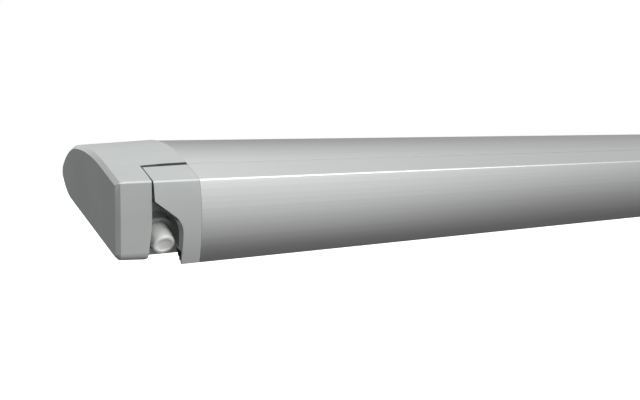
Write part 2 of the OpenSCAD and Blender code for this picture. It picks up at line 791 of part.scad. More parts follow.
module elbow_pin(side) {
    color(steel) sided(side) on_slope() translate([elbow_px, elbow_u, arm_v]) {
        cylinder(r = pin_r, h = upper_h - 2 * fork_inset, center = true);
        translate([0, 0, upper_h / 2 - fork_inset]) cylinder(r = pin_r + head_over, h = head_t);
    }
}

module elbow_tongue(side) {
    plate_w = fore_w - 8;
    color(cast_grey) sided(side) on_slope() difference() {
        union() {
            elbow_plate(fore_u, plate_w, arm_v - tongue_h / 2, arm_v + tongue_h / 2);
            arm_plug(elbow_px - elbow_set, -1, fore_u, fore_w, fore_h);
        }
        translate([elbow_px, elbow_u, 0]) cylinder(r = pin_r + run_fit, h = 2 * upper_h);
    }
}

// Tension spring and its pull rods inside the upper arm, hooked to the two castings
module arm_spring(side) {
    x0 = shoulder_px + tube_set + plug_l;
    x1 = elbow_px - elbow_set - plug_l;
    coil_l = (x1 - x0) * 0.6;
    coil_r = upper_w / 2 - arm_wall - 1;
    rod_r = 2;
    color(steel) sided(side) on_slope() translate([x0, upper_u, arm_v]) rotate([0, 90, 0]) {
        cylinder(r = rod_r, h = x1 - x0);
        translate([0, 0, (x1 - x0 - coil_l) / 2]) cylinder(r = coil_r, h = coil_l);
    }
}

module wrist_knuckle(side) {
    neck_w = fore_w - 4;
    fit = side < 0 ? run_fit : open_fit;
    color(cast_grey) sided(side) on_slope() difference() {
        union() {
            translate([shoulder_px, fore_u, arm_v - wrist_h / 2]) cylinder(r = hub_r - 1, h = wrist_h);
            box([shoulder_px, fore_u - neck_w / 2, arm_v - wrist_h / 2],
                [shoulder_px + tube_set - flange_t, fore_u + neck_w / 2, arm_v + wrist_h / 2]);
            arm_plug(shoulder_px + tube_set, 1, fore_u, fore_w, fore_h);
        }
        translate([shoulder_px, fore_u, 0]) cylinder(r = wrist_r + fit, h = 2 * upper_h);
    }
}

wrist_low = arm_v - wrist_h / 2 - face_fit;
wrist_high = arm_v + wrist_h / 2 + face_fit;

module wrist_bracket(side) {
    base_t = 3.4;
    base_side = 6;
    base_rise = 17;
    base_over = 14;
    ear_r = hub_r - 1;
    color(cast_grey) sided(side) difference() {
        union() {
            on_slope() for (v = [wrist_low - ear_h, wrist_high]) {
                translate([shoulder_px, fore_u, v]) cylinder(r = ear_r, h = ear_h);
                box([shoulder_px - ear_r, fore_u - 2 * overrun, v], [shoulder_px + ear_r, fore_u, v + ear_h]);
            }
            box([shoulder_px - ear_r - base_side, web_y, web_z + base_rise],
                [shoulder_px + ear_r + base_side, web_y + base_t, roof_z + base_over]);
        }
        box([shoulder_px - 5 * overrun, 0, 0], [shoulder_px + 5 * overrun, web_y, total_h]);
        on_slope() translate([shoulder_px, fore_u, wrist_low])
            cylinder(r = hub_r, h = wrist_high - wrist_low);
        on_slope() translate([shoulder_px, fore_u, 0]) cylinder(r = wrist_r, h = 2 * upper_h);
    }
}

module wrist_pins() {
    color(steel) for (side = [-1, 1]) {
        sided(side) on_slope() translate([shoulder_px, fore_u, wrist_low - ear_h]) {
            cylinder(r = wrist_r, h = wrist_high - wrist_low + 2 * ear_h);
            translate([0, 0, wrist_high - wrist_low + 2 * ear_h]) cylinder(r = wrist_r + head_over, h = 2);
        }
    }
}

// Front skin and top flange of the lead rail with wall t, back to y1
module rail_skin(t, y1) {
    polygon(concat(front_pts(rail_front, 0, ridge_h, 0),
        [[y1, top_at(y1, 0)], [y1, top_at(y1, t)]],
        front_pts(rail_front, ridge_z(rail_front, t, top_slope), t / 2, t)));
}

// Underside of the web that bears the seal
lip_root = front_at(rail_front, lip_foot, rail_wall / 2);
function lip_under(y) = lip_foot + (lip_z - lip_foot) * (y - lip_root) / (lip_y - lip_root);

module bottom_lip() {
    polygon([[lip_root, lip_foot], [lip_y, lip_z], [lip_y, lip_z + lip_t], [lip_root, lip_foot + lip_t]]);
}

module lead_rail() {
    x0 = from_left(case_x);
    rib_w = 2;
    ring_r = groove_r + groove_wall;
    color(anodised) difference() {
        union() {
            along_x(x0, -x0) rail_skin(rail_wall, flange_y);
            along_x(x0, -x0) bottom_lip();
            box([x0, channel_y - rail_wall, lip_z], [-x0, channel_y, roof_z + rail_wall]);
            box([x0, front_at(rail_front, roof_z, rail_wall / 2), roof_z], [-x0, web_y, roof_z + rail_wall]);
            box([x0, web_y - web_t, web_z], [-x0, web_y, roof_z + rail_wall]);
            translate([x0, bead_c[0], bead_c[1]]) rotate([0, 90, 0]) cylinder(r = ring_r, h = -2 * x0);
            box([x0, bead_c[0] - rib_w / 2, bead_c[1]],
                [-x0, bead_c[0] + rib_w / 2, top_at(bead_c[0], rail_wall / 2)]);
        }
        translate([x0 - 1, bead_c[0], bead_c[1]]) rotate([0, 90, 0]) cylinder(r = groove_r, h = -2 * x0 + 2);
        translate([0, bead_c[0], bead_c[1]]) rotate([pitch, 0, 0])
            box([x0 - 1, 0, -cloth_t / 2 - slot_room], [-x0 + 1, 2 * ring_r, cloth_t / 2 + slot_room]);
    }
}

// Outline of the crank notch in a rail cap, t larger, in x from the outer face and z
module notch(t) {
    left = column_w + cap_gap;
    run = notch_side - notch_r + notch_r * sin(notch_slope) - left;
    corner = [notch_side - notch_r, notch_top - run * tan(notch_slope) - notch_r * cos(notch_slope)];
    polygon(concat([[left - 1, -notch_foot], [left - 1, notch_top + tan(notch_slope) + t / cos(notch_slope)]],
        arc_pts(corner, notch_r + t, 90 - notch_slope, 0, curve_steps),
        [[notch_side + t + notch_lean, -notch_foot]]));
}

// Closed section of a rail cap above its lip, with the foot of its skin
module rail_zone() {
    polygon(concat(front_pts(rail_front, 0, ridge_h, 0),
        [[cap_flange_y, top_at(cap_flange_y, 0)], [cap_flange_y, 2 * lip_z], [lip_y, lip_z],
            [lip_root, lip_foot], [front_at(rail_front, cap_wall, cap_wall / 2), cap_wall]]));
}

module rail_cap(side) {
    x0 = column_w + cap_gap;
    color(cap_grey) sided(side) translate([from_left(0), 0, 0]) {
        difference() {
            union() {
                along_x(x0, cap_w) rail_skin(cap_wall, cap_flange_y);
                along_x(x0, cap_w) bottom_lip();
                along_x(cap_w - cap_wall, cap_w) rail_zone();
            }
            along_y(-overrun, notch_depth + overrun) notch(0);
        }
        intersection() {
            along_x(x0, cap_w) rail_zone();
            along_y(-overrun, notch_depth) difference() {
                notch(cap_wall);
                notch(0);
            }
        }
    }
}

// Rubber wedge under the lip of the rail, ribbed on its lower face
module bottom_seal() {
    seal_t = cap_wall + plug_fit;
    top_y = front_at(rail_front, lip_foot, seal_t);
    low = [front_at(rail_front, seal_low, seal_t), seal_low];
    rear = [seal_rear, lip_under(seal_rear) - run_fit];
    rib_l = norm(rear - low) / seal_ribs;
    dir = (rear - low) / norm(rear - low);
    out = [dir[1], -dir[0]];
    end_x = notch_side + 1.2;
    color(rubber_black) along_x(from_left(end_x), -from_left(end_x)) {
        polygon(concat([low, [top_y, lip_under(top_y) - run_fit], rear],
            [for (i = [seal_ribs - 1:-1:0], k = [rib_foot, 1 / 2, 1 - rib_foot])
                low + (i + k) * rib_l * dir + (k == 1 / 2 ? rib_h : 0) * out]));
    }
}

module canopy_bead() {
    color(cloth_grey) translate([-cloth_w / 2, bead_c[0], bead_c[1]]) rotate([0, 90, 0])
        cylinder(r = groove_r - face_fit, h = cloth_w);
}

function lane(side) = side < 0 ? lane_left : lane_right;

// Hinge lugs under the roof of the rail channel
module leg_bracket(side) {
    lug_r = leg_h / 2 - 1;
    lug_t = (leg_w - tongue_w) / 2 - face_fit;
    y0 = lane(side) - leg_w / 2;
    color(cast_grey) sided(side) difference() {
        union() {
            for (y = [y0, y0 + leg_w - lug_t]) {
                translate([shoulder_px, y, leg_z]) rotate([-90, 0, 0]) cylinder(r = lug_r, h = lug_t);
                box([shoulder_px - lug_r, y, leg_z], [shoulder_px + lug_r, y + lug_t, roof_z]);
            }
            box([shoulder_px - lug_r, y0, roof_z - 2], [shoulder_px + lug_r, y0 + leg_w, roof_z]);
        }
        translate([shoulder_px, y0 - 1, leg_z]) rotate([-90, 0, 0]) cylinder(r = leg_pin_r, h = leg_w + 2);
    }
}

module leg_pins() {
    color(steel) for (side = [-1, 1]) {
        sided(side) translate([shoulder_px, lane(side) - leg_w / 2, leg_z]) rotate([-90, 0, 0])
            cylinder(r = leg_pin_r, h = leg_w);
    }
}

module leg_tube(side) {
    color(anodised) sided(side) translate([0, lane(side), leg_z]) difference() {
        along_x(shoulder_px + hinge_set, shoulder_px + leg_l) square([leg_w, leg_h], center = true);
        along_x(shoulder_px + hinge_set - 1, shoulder_px + leg_l + 1)
            square([leg_w - 2 * leg_wall, leg_h - 2 * leg_wall], center = true);
    }
}

module leg_hinge(side) {
    round_r = leg_h / 2 - 1.5;
    plug_len = 24;
    color(cast_grey) sided(side) translate([0, lane(side), leg_z]) difference() {
        union() {
            translate([shoulder_px, -tongue_w / 2, 0]) rotate([-90, 0, 0])
                cylinder(r = round_r, h = tongue_w);
            box([shoulder_px, -tongue_w / 2, -round_r], [shoulder_px + hinge_set, tongue_w / 2, round_r]);
            along_x(shoulder_px + hinge_set - flange_t, shoulder_px + hinge_set)
                square([leg_w, leg_h], center = true);
            along_x(shoulder_px + hinge_set, shoulder_px + hinge_set + plug_len)
                square([leg_w, leg_h] - 2 * (leg_wall + plug_fit) * [1, 1], center = true);
        }
        translate([shoulder_px, -leg_w, 0]) rotate([-90, 0, 0])
            cylinder(r = leg_pin_r + run_fit, h = 2 * leg_w);
    }
}

lever_x = 8;
lever_z = -leg_h / 2 - lever_h / 2 - 0.6;
lever_pin_r = 1.5;

module leg_collar(side) {
    lug_t = 2.4;
    x0 = shoulder_px + leg_l;
    color(rubber_black) sided(side) translate([0, lane(side), leg_z]) difference() {
        union() {
            along_x(x0, x0 + collar_len) square([leg_w, leg_h], center = true);
            for (y = [-leg_w / 2, leg_w / 2 - lug_t]) {
                translate([x0 + lever_x, y, lever_z]) rotate([-90, 0, 0])
                    cylinder(r = lever_h / 2, h = lug_t);
                box([x0 + lever_x - lever_h / 2, y, lever_z], [x0 + lever_x + lever_h / 2, y + lug_t, 0]);
            }
        }
        along_x(x0 - 1, x0 + collar_len + 1)
            square([inner_w, inner_h] + 2 * inner_fit * [1, 1], center = true);
        translate([x0 + lever_x, -leg_w, lever_z]) rotate([-90, 0, 0])
            cylinder(r = lever_pin_r, h = 2 * leg_w);
    }
}

module leg_lever(side) {
    lug_t = 2.4;
    x0 = shoulder_px + leg_l + lever_x;
    lever_w = leg_w - 2 * lug_t - 2 * face_fit;
    color(rubber_black) sided(side) translate([0, lane(side), leg_z + lever_z]) {
        translate([x0, -lever_w / 2, 0]) rotate([-90, 0, 0]) cylinder(r = lever_h / 2, h = lever_w);
        box([x0 - lever_l, -lever_w / 2, -lever_h / 2], [x0, lever_w / 2, lever_h / 2]);
        translate([x0, -leg_w / 2, 0]) rotate([-90, 0, 0]) cylinder(r = lever_pin_r - run_fit, h = leg_w);
    }
}

module leg_inner(side) {
    root_x = shoulder_px + hinge_set + 30;
    color(anodised) sided(side) translate([0, lane(side), leg_z]) difference() {
        along_x(root_x, shoulder_px + leg_l + collar_len + foot_gap)
            square([inner_w, inner_h], center = true);
        along_x(root_x - 1, shoulder_px + leg_l + collar_len + foot_gap + 1)
            square([inner_w - 2 * leg_wall, inner_h - 2 * leg_wall], center = true);
    }
}

module leg_foot(side) {
    x0 = shoulder_px + leg_l + collar_len + foot_gap;
    color(rubber_black) sided(side) translate([0, lane(side), leg_z]) {
        along_x(x0, x0 + foot_len) square([leg_w, leg_h], center = true);
        along_x(x0 - foot_plug, x0)
            square([inner_w, inner_h] - 2 * (leg_wall + plug_fit) * [1, 1], center = true);
    }
}

place() case_profile();
place() end_cap(-1);  // end_cap_left
place() end_cap(1);  // end_cap_right
place() end_plate(-1);  // end_plate_left
place() end_plate(1);  // end_plate_right
place() end_plate_screws();
place() roller_bushes();
place() shoulder_bracket(-1);  // shoulder_bracket_left
place() shoulder_bracket(1);  // shoulder_bracket_right
place() shoulder_pins();
place() gearbox(1);  // gearbox_inner
place() gearbox(-1);  // gearbox_outer
place() blanking_plug();
place() roller_tube();
place() roller_plug(-1);  // roller_plug_left
place() roller_plug(1);  // roller_plug_right
place() worm_wheel();
place() canopy_roll();
place() worm_shaft();
place() crank_coupler();
place() canopy_sheet();
place() upper_arm(-1);  // upper_arm_left
place() upper_arm(1);  // upper_arm_right
place() shoulder_knuckle(-1);  // shoulder_knuckle_left
place() shoulder_knuckle(1);  // shoulder_knuckle_right
place() elbow_fork(-1);  // elbow_fork_left
place() elbow_fork(1);  // elbow_fork_right
place() elbow_pin(-1);  // elbow_pin_left
place() elbow_pin(1);  // elbow_pin_right
place() arm_spring(-1);  // arm_spring_left
place() arm_spring(1);  // arm_spring_right
place() forearm(-1);  // forearm_left
place() forearm(1);  // forearm_right
place() elbow_tongue(-1);  // elbow_tongue_left
place() elbow_tongue(1);  // elbow_tongue_right
place() wrist_knuckle(-1);  // wrist_knuckle_left
place() wrist_knuckle(1);  // wrist_knuckle_right
place() lead_rail();
place() rail_cap(-1);  // rail_cap_left
place() rail_cap(1);  // rail_cap_right
place() bottom_seal();
place() canopy_bead();
place() wrist_bracket(-1);  // wrist_bracket_left
place() wrist_bracket(1);  // wrist_bracket_right
place() wrist_pins();
place() leg_bracket(-1);  // leg_bracket_left
place() leg_bracket(1);  // leg_bracket_right
place() leg_pins();
place() leg_tube(-1);  // leg_tube_left
place() leg_tube(1);  // leg_tube_right
place() leg_hinge(-1);  // leg_hinge_left
place() leg_hinge(1);  // leg_hinge_right
place() leg_collar(-1);  // leg_collar_left
place() leg_collar(1);  // leg_collar_right
place() leg_inner(-1);  // leg_inner_left
place() leg_inner(1);  // leg_inner_right
place() leg_foot(-1);  // leg_foot_left
place() leg_foot(1);  // leg_foot_right
place() leg_lever(-1);  // leg_lever_left
place() leg_lever(1);  // leg_lever_right
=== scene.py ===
import json
import math

import bmesh
import bpy
from bpy.props import FloatProperty, FloatVectorProperty, IntProperty, PointerProperty
from mathutils import Matrix, Vector

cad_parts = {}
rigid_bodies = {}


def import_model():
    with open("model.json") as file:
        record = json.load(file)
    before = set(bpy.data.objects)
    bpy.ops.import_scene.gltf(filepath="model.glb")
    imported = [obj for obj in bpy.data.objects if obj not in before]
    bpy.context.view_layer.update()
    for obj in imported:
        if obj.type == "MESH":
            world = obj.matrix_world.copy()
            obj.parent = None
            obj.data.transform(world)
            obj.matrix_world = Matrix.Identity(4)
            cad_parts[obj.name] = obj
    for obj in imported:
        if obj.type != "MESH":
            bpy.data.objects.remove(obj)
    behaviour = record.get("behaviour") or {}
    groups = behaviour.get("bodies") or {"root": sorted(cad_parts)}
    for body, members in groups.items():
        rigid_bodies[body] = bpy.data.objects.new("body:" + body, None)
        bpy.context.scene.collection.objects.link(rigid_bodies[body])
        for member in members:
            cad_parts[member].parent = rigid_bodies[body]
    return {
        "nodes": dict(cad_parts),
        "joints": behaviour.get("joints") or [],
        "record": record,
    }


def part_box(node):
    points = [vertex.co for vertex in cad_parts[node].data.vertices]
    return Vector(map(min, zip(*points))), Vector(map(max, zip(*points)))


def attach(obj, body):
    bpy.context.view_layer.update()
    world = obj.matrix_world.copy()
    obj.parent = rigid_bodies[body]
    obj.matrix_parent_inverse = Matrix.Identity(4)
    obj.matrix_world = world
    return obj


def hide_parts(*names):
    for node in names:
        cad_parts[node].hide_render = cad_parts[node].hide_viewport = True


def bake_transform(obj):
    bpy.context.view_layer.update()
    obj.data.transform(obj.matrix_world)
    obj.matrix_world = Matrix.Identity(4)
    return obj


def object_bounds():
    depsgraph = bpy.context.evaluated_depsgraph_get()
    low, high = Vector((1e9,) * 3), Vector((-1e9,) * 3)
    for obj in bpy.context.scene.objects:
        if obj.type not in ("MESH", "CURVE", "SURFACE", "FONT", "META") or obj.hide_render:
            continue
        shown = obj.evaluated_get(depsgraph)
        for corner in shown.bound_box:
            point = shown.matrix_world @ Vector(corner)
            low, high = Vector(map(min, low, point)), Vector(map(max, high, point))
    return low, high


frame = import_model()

bl_info = {
    "name": "Cassette awning",
    "version": (1, 0, 0),
    "blender": (4, 5, 0),
    "location": "3D View > Sidebar > Awning",
    "description": "Dresses the packed cassette awning and sets its studio stage",
    "category": "Object",
}

NODES = frame["nodes"]
JOINTS = {joint["name"]: joint for joint in frame["joints"]}
MOUNTS = {mount["name"]: mount for mount in frame["record"]["mounts"]}
BODY_OF = {node: body for body, nodes in frame["record"]["behaviour"]["bodies"].items()
           for node in nodes}
SLOT_OF = {part["node"]: part["material_slot"] for part in frame["record"]["subparts"]}
CAD_BOX = [list(corner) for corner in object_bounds()]
SIDES = ("left", "right")

# Working of the meshes, in metres and radians.
MERGE = 2e-6                    # corners closer than this are one
FLAT = math.radians(0.4)        # faces that turn less than this are one
SHARP = math.radians(30)        # edges that turn more than this are eased
CREASE = math.radians(32)       # edges that turn more than this stay sharp in the shading
EDGE_STEPS = 2                  # steps in the round of an eased edge
RIDGE_STEPS = 4                 # steps in the round of the front ridge
LEVEL_WEIGHT = 50               # how much the broad faces lead the shading
RIDGE_REACH = 0.006             # depth of the front ridge, and the least length of an edge on it
JOINT_FRONT = 0.004             # room of the top joint before its plane
JOINT_BACK = 0.001              # room of the top joint behind its plane
JOINT_PLAY = 1e-4               # how far a wall in the plane of the joint may be off it
SHADOW_FOOT = 0.0005             # height at which the painted shadow of the top joint starts
HEAD_DEPTH = 0.003              # depth of the head of the blanking plug
COLUMN_GAP = 0.006              # how far before the top joint the columns of the end caps lie
SETTLE_STEPS = 5                # steps in which the rail caps fall towards their outer end
SETTLE_EDGES = 6                # depth of what falls on the rail caps, in cap edges
RIM_STEPS = 6                   # steps in the rounded rim of the coupler
DISH_STEPS = 8                  # steps in the dish of the coupler
RUN_ROWS, RUN_COLUMNS = 36, 48  # squares of the canopy's run, down and across
RIVET_SEGMENTS, RIVET_RINGS = 14, 8

# Least share of a face's normal along an axis that the face is square to, faces or leans towards.
SQUARE, FACING, LEANING, SIDEWAYS = 0.9, 0.8, 0.6, 0.5

# Noise between these two values spans the whole of what it varies.
NOISE_LOW, NOISE_HIGH = 0.3, 0.7
WEAVE_PITCH = 0.0016            # pitch of the threads of the canopy
STITCH_PITCH = 0.005            # pitch of the stitches of the hem
STITCH_GAP = -0.4               # height of a stitch's wave below which the thread is out of sight
THREAD = 0.0008                 # half the width of the row of stitches

# Studio: the sky's levels from below to above, and which way its light and its dark flag lean.
SKY_LEAN = (-0.25, -0.45, 1.0)
FLAG_LEAN = (-0.78, -0.62, 0.0)
SKY_STOPS = ((0.0, 0.05), (0.25, 0.07), (0.36, 0.13), (0.45, 0.27), (0.53, 0.44),
             (0.6, 0.6), (0.68, 0.74), (0.76, 0.83), (0.86, 0.95), (1.0, 0.95))
FAR_START = 0.3                 # share of the way to the right at which the far sky starts
WHITE = (1, 1, 1, 1)
PAPER = (0.9, 0.9, 0.9)
FLOOR_SIZE = 80
FLOOR_LIFT = 0.1                # height of the floor's softbox above the floor
SENSOR_W = 36                   # width of the picture in the camera, in millimetres
RECESS_PIECES = ("crank_coupler_turned", "gearbox")
OPEN_PIECES = ("canopy_run", "upper_arm", "forearm", "elbow", "wrist", "shoulder", "leg_")
# Each softbox: its name, which its power among the stage's properties has too, its size, its place,
# with None for a height just above the floor, its aim, the rays that pass it by, and the words in
# the names of the pieces that it is kept for.
SOFTBOXES = (
    ("key", (3.0, 1.6), (0.4, -2.2, 2.4), (-0.3, 0, 0), None, ()),
    ("fill", (0.5, 0.4), (-0.9, -1.5, -0.9), (-1.25, -0.15, -0.05), "visible_glossy", ()),
    ("front", (1.2, 0.9), (-0.3, -2.1, 1.0), (-1.25, -0.17, -0.05), "visible_glossy", ()),
    ("rail", (1.9, 2.0), (0.1, -2.6, -0.4), (-1.1, -0.18, -0.04), "visible_diffuse", ()),
    ("recess", (0.3, 0.3), (-1.05, -1.2, 0.35), (-1.25, -0.17, -0.06), None, RECESS_PIECES),
    ("floor", (3.0, 2.0), (0, -1.2, None), (0, -1.1, 0), "visible_glossy", OPEN_PIECES),
    ("back", (8.0, 3.0), (0, 3.0, -1.3), (0, 0, -0.05), None, ("_extrusion", *OPEN_PIECES)),
    ("rim", (0.8, 0.5), (-1.45, 1.8, 0.75), (-1.3, -0.05, 0.02), None, ()),
    ("ridge", (0.6, 0.6), (-0.59, -0.48, 1.86), (-1.27, -0.18, 0), None, ()),
)


def number(name, description, default, **settings):
    return FloatProperty(name=name, description=description, default=default, **settings)


def length(name, description, default):
    return number(name, description, default, unit="LENGTH", precision=5)


def angle(name, description, degrees):
    return number(name, description, math.radians(degrees), subtype="ANGLE")


def power(name, description, default):
    return number(name, description, default, unit="POWER")


def tint(name, description, default):
    return FloatVectorProperty(name=name, description=description, default=default, size=3,
                               min=0, max=1, subtype="COLOR")


class AwningSizes(bpy.types.PropertyGroup):
    edge: length("Eased edge", "Radius on the edges of the extrusions and castings", 0.0004)
    cap_edge: length("Cap edge", "Radius on the edges of the plastic caps", 0.0007)
    cap_ridge: length("Cap ridge", "Radius on the front ridge of the plastic caps", 0.0016)
    cap_settle: length("Cap settle", "Fall of the rail caps' rear, outer corner", 0.0014)
    foot_fall: length("Foot fall", "Fall of the end caps' foot towards its inner side", 0.0018)
    foot_h: length("Foot height", "Height over which the fall of the foot runs out", 0.014)
    # Painted shadow: the undersides of the notch above this depth are painted dark, where they lie
    # in shade.
    notch_h: length("Notch", "Depth below the ridge down to which the crank notch is lined", 0.05)
    joint_y: length("Joint", "Place of the top joint between the rail and the case", -0.1528)
    ridge_edge: length("Ridge edge", "Radius on the front ridge of the rail", 0.0012)
    pitch: angle("Slope", "Fall of the case's floor, the arms and the canopy towards the front", 15)
    coupler_rim: length("Coupler rim", "Width of the rounded rim of the coupler", 0.0032)
    coupler_dish: length("Coupler dish", "Depth of the dish in the end of the coupler", 0.0016)
    coupler_r: length("Coupler radius", "Outer radius of the crank coupler", 0.0108)
    coupler_l: length("Coupler length", "Length of the crank coupler", 0.022)
    plug_reach: length("Plug reach", "How much longer the plug's head is than its solid", 0.009)
    cloth_t: length("Cloth thickness", "Thickness of the canopy cloth", 0.0005)
    cloth_play: length("Cloth clearance", "Room between the canopy and its solid", 0.0001)
    tube_r: length("Roller radius", "Radius of the tube under the wound canopy", 0.0203)
    seal_reach: length("Seal reach", "How much longer the seal's ends are than its solid", 0.0018)
    hem: length("Hem", "Distance of the hem's stitches from the edge of the canopy", 0.015)
    upper_w: length("Upper arm width", "Width of the upper arm tubes", 0.022)
    fore_w: length("Forearm width", "Width of the forearm tubes", 0.02)
    rivet_r: length("Rivet radius", "Radius of the rivet heads on the arms", 0.0028)
    rivet_h: length("Rivet height", "Height of the rivet heads on the arms", 0.0009)
    rivet_inset: length("Rivet inset", "Distance of a group of rivets from its tube's end", 0.028)
    rivet_pitch: length("Rivet pitch", "Distance between the rivets of a group", 0.018)
    wind_steps: IntProperty(name="Winding steps", default=40, min=12, max=96,
                            description="Straight steps in one turn of the wound canopy")


class AwningFinish(bpy.types.PropertyGroup):
    anodised: tint("Aluminium", "Extrusions of the case, rail, arms and legs", (0.7, 0.705, 0.71))
    cap_plastic: tint("Cap plastic", "Moulded end caps and rail caps", (0.47, 0.49, 0.48))
    coupler: tint("Coupler plastic", "Pale moulded crank coupler", (0.88, 0.89, 0.87))
    cast_alloy: tint("Cast alloy", "Blasted castings of the arms and plates", (0.42, 0.43, 0.44))
    steel: tint("Plated steel", "Pins, screws and gears", (0.6, 0.6, 0.62))
    black_plastic: tint("Black plastic", "Clamps, feet and bushes", (0.018, 0.018, 0.019))
    rubber: tint("Rubber", "Ribbed seal under the rail", (0.012, 0.012, 0.012))
    # Painted shadow: the end caps' wall in the top joint is painted this dark, where the gap lies
    # in shade.
    strip: tint("Joint strip", "Dark strip in the top joint of the end caps", (0.06, 0.065, 0.064))
    # Painted shadow: the rail caps' gap walls and notch undersides are painted this dark, where
    # they lie in shade.
    shadows: tint("Notch lining", "Dark lining of the rail caps' notches", (0.16, 0.17, 0.168))
    cloth: tint("Canopy cloth", "Coated woven canopy", (0.27, 0.29, 0.31))
    # Painted highlight: how much lighter the caps' ridge is painted than the rest of the cap.
    polish: number("Highlight", "How much lighter the ridge of the caps is", 1.35, min=1, max=2)


class AwningStage(bpy.types.PropertyGroup):
    camera: FloatVectorProperty(name="Camera", description="Place of the camera", size=3,
                                subtype="TRANSLATION", default=(-1.5151, -0.8615, 0.0529))
    turn: angle("Turn", "Turn of the camera from straight ahead to the right", 32.4)
    dip: angle("Dip", "Fall of the camera's view below the horizon", 5.67)
    lens: number("Lens", "Focal length on a 36 mm wide picture", 43.62, unit="CAMERA")
    floor_z: length("Floor height", "Height of the studio floor", -2.75)
    sky: number("Sky", "Strength of the studio's soft light", 1.2, min=0)
    far: number("Far sky", "Strength of the soft light towards the far right", 0.95, min=0)
    flag: number("Flag", "Share of the sky's light let in from the front left", 0.25, min=0, max=1)
    key: power("Key", "Power of the large soft key light", 40.0)
    fill: power("Fill", "Power of the small fill light below the front", 1.8)
    front: power("Front", "Power of the softbox before the left end", 10.0)
    rail: power("Rail", "Power of the panel that the front of the rail mirrors", 2.0)
    recess: power("Recess", "Power of the light on the coupler and gearbox in their recess", 3.0)
    floor: power("Floor", "Power of the light from the floor on the canopy, arms and legs", 30.0)
    back: power("Back", "Power of the low softbox behind the awning", 20.0)
    rim: power("Rim", "Power of the softbox behind the left end", 4.5)
    ridge: power("Ridge", "Power of the small light over the ridge of the caps", 2.5)


class Tree:
    """A node tree, with helpers that add nodes and set or link their sockets."""

    def __init__(self, tree):
        self.tree = tree

    def add(self, kind, *values, settings=None, **sockets):
        """A new node. Values go to its sockets in order or by name, and an output is linked."""
        node = self.tree.nodes.new(kind)
        for name, value in (settings or {}).items():
            setattr(node, name, value)
        live = [socket for socket in node.inputs if socket.enabled]
        pairs = list(zip(live, values))
        for name, value in sockets.items():
            word = name.replace("_", " ")
            pairs.append((next(socket for socket in live if socket.name == word), value))
        for socket, value in pairs:
            if isinstance(value, bpy.types.NodeSocket):
                self.link(value, socket)
            else:
                socket.default_value = value
        return node

    def link(self, output, socket):
        self.tree.links.new(output, socket)

    def calc(self, operation, *values):
        """The result of a sum on values or outputs."""
        node = self.add("ShaderNodeMath", *values, settings={"operation": operation})
        return node.outputs["Value"]

    def ramp(self, value, low, high, start=NOISE_LOW, stop=NOISE_HIGH):
        """Takes a value between start and stop to one between low and high."""
        return self.add("ShaderNodeMapRange", value, start, stop, low, high).outputs["Result"]


class Finish(Tree):
    """One procedural material, with the steps that shade it."""

    def __init__(self, name, colour, **sockets):
        self.material = bpy.data.materials.new(name)
        self.material.use_nodes = True
        super().__init__(self.material.node_tree)
        self.tree.nodes.clear()
        self.shader = self.add("ShaderNodeBsdfPrincipled", Base_Color=(*colour, 1), **sockets)
        self.add("ShaderNodeOutputMaterial", Surface=self.shader.outputs["BSDF"])
        self.colour = colour
        self.height = None

    def spread(self, scale, source="Object"):
        """Coordinates of the piece, stretched by scale along its axes."""
        place = self.add("ShaderNodeTexCoord").outputs[source]
        return self.add("ShaderNodeMapping", Vector=place, Scale=scale).outputs["Vector"]

    def noise(self, scale, detail, rough=0.55, source="Object"):
        """Noise with so many grains to the metre along each axis."""
        node = self.add("ShaderNodeTexNoise", Vector=self.spread(scale, source), Scale=1.0,
                        Detail=detail, Roughness=rough)
        return node.outputs["Fac"]

    def toned(self, share):
        """The base colour, darker or lighter by a share."""
        return (*[min(c * share, 1) for c in self.colour], 1)

    def mix(self, kind, factor, first, second):
        """A mix of two colours or two numbers."""
        node = self.add("ShaderNodeMix", factor, first, second, settings={"data_type": kind})
        return next(port for port in node.outputs if port.enabled)

    def shade(self, value, dark, light):
        """Varies the base colour between dark and light shares of itself."""
        varied = self.mix("RGBA", self.ramp(value, 0, 1), self.toned(dark), self.toned(light))
        self.link(varied, self.shader.inputs["Base Color"])
        return self

    def gloss(self, value, low, high):
        """Varies the roughness between low and high."""
        self.link(self.ramp(value, low, high), self.shader.inputs["Roughness"])
        return self

    def lighten(self, value, share, rough):
        """Turns the colour lighter by a share and the roughness to rough where value is 1."""
        for name, kind, lightened in (("Base Color", "RGBA", self.toned(share)),
                                 ("Roughness", "FLOAT", rough)):
            socket = self.shader.inputs[name]
            self.link(self.mix(kind, value, socket.links[0].from_socket, lightened), socket)
        return self

    def relief(self, value, strength, distance):
        """Raises the surface where value is high, on top of any relief before."""
        bump = self.add("ShaderNodeBump", Strength=strength, Distance=distance, Height=value)
        if self.height is not None:
            self.link(self.height, bump.inputs["Normal"])
        self.height = bump.outputs["Normal"]
        self.link(self.height, self.shader.inputs["Normal"])
        return self


def grained(name, colour, grain, cloud, shade, gloss, relief, **sockets):
    """A finish whose fine grain gives its gloss and relief, and whose broader clouds its shade.
    Grain and cloud hold what noise takes, and shade, gloss and relief what their steps take."""
    finish = Finish(name, colour, **sockets)
    fine = finish.noise(*grain)
    broad = finish.noise(*cloud) if cloud else fine
    return finish.shade(broad, *shade).gloss(fine, *gloss).relief(fine, *relief)


def anodised_finish(look):
    """Satin aluminium, drawn lengthwise, with faint die lines."""
    return grained("anodised_aluminium", look.anodised, Metallic=1.0,
                   grain=((0.9, 1500, 1500), 4, 0.7), cloud=((0.3, 520, 520), 3),
                   shade=(0.97, 1.025), gloss=(0.31, 0.4), relief=(0.04, 0.0002)).material


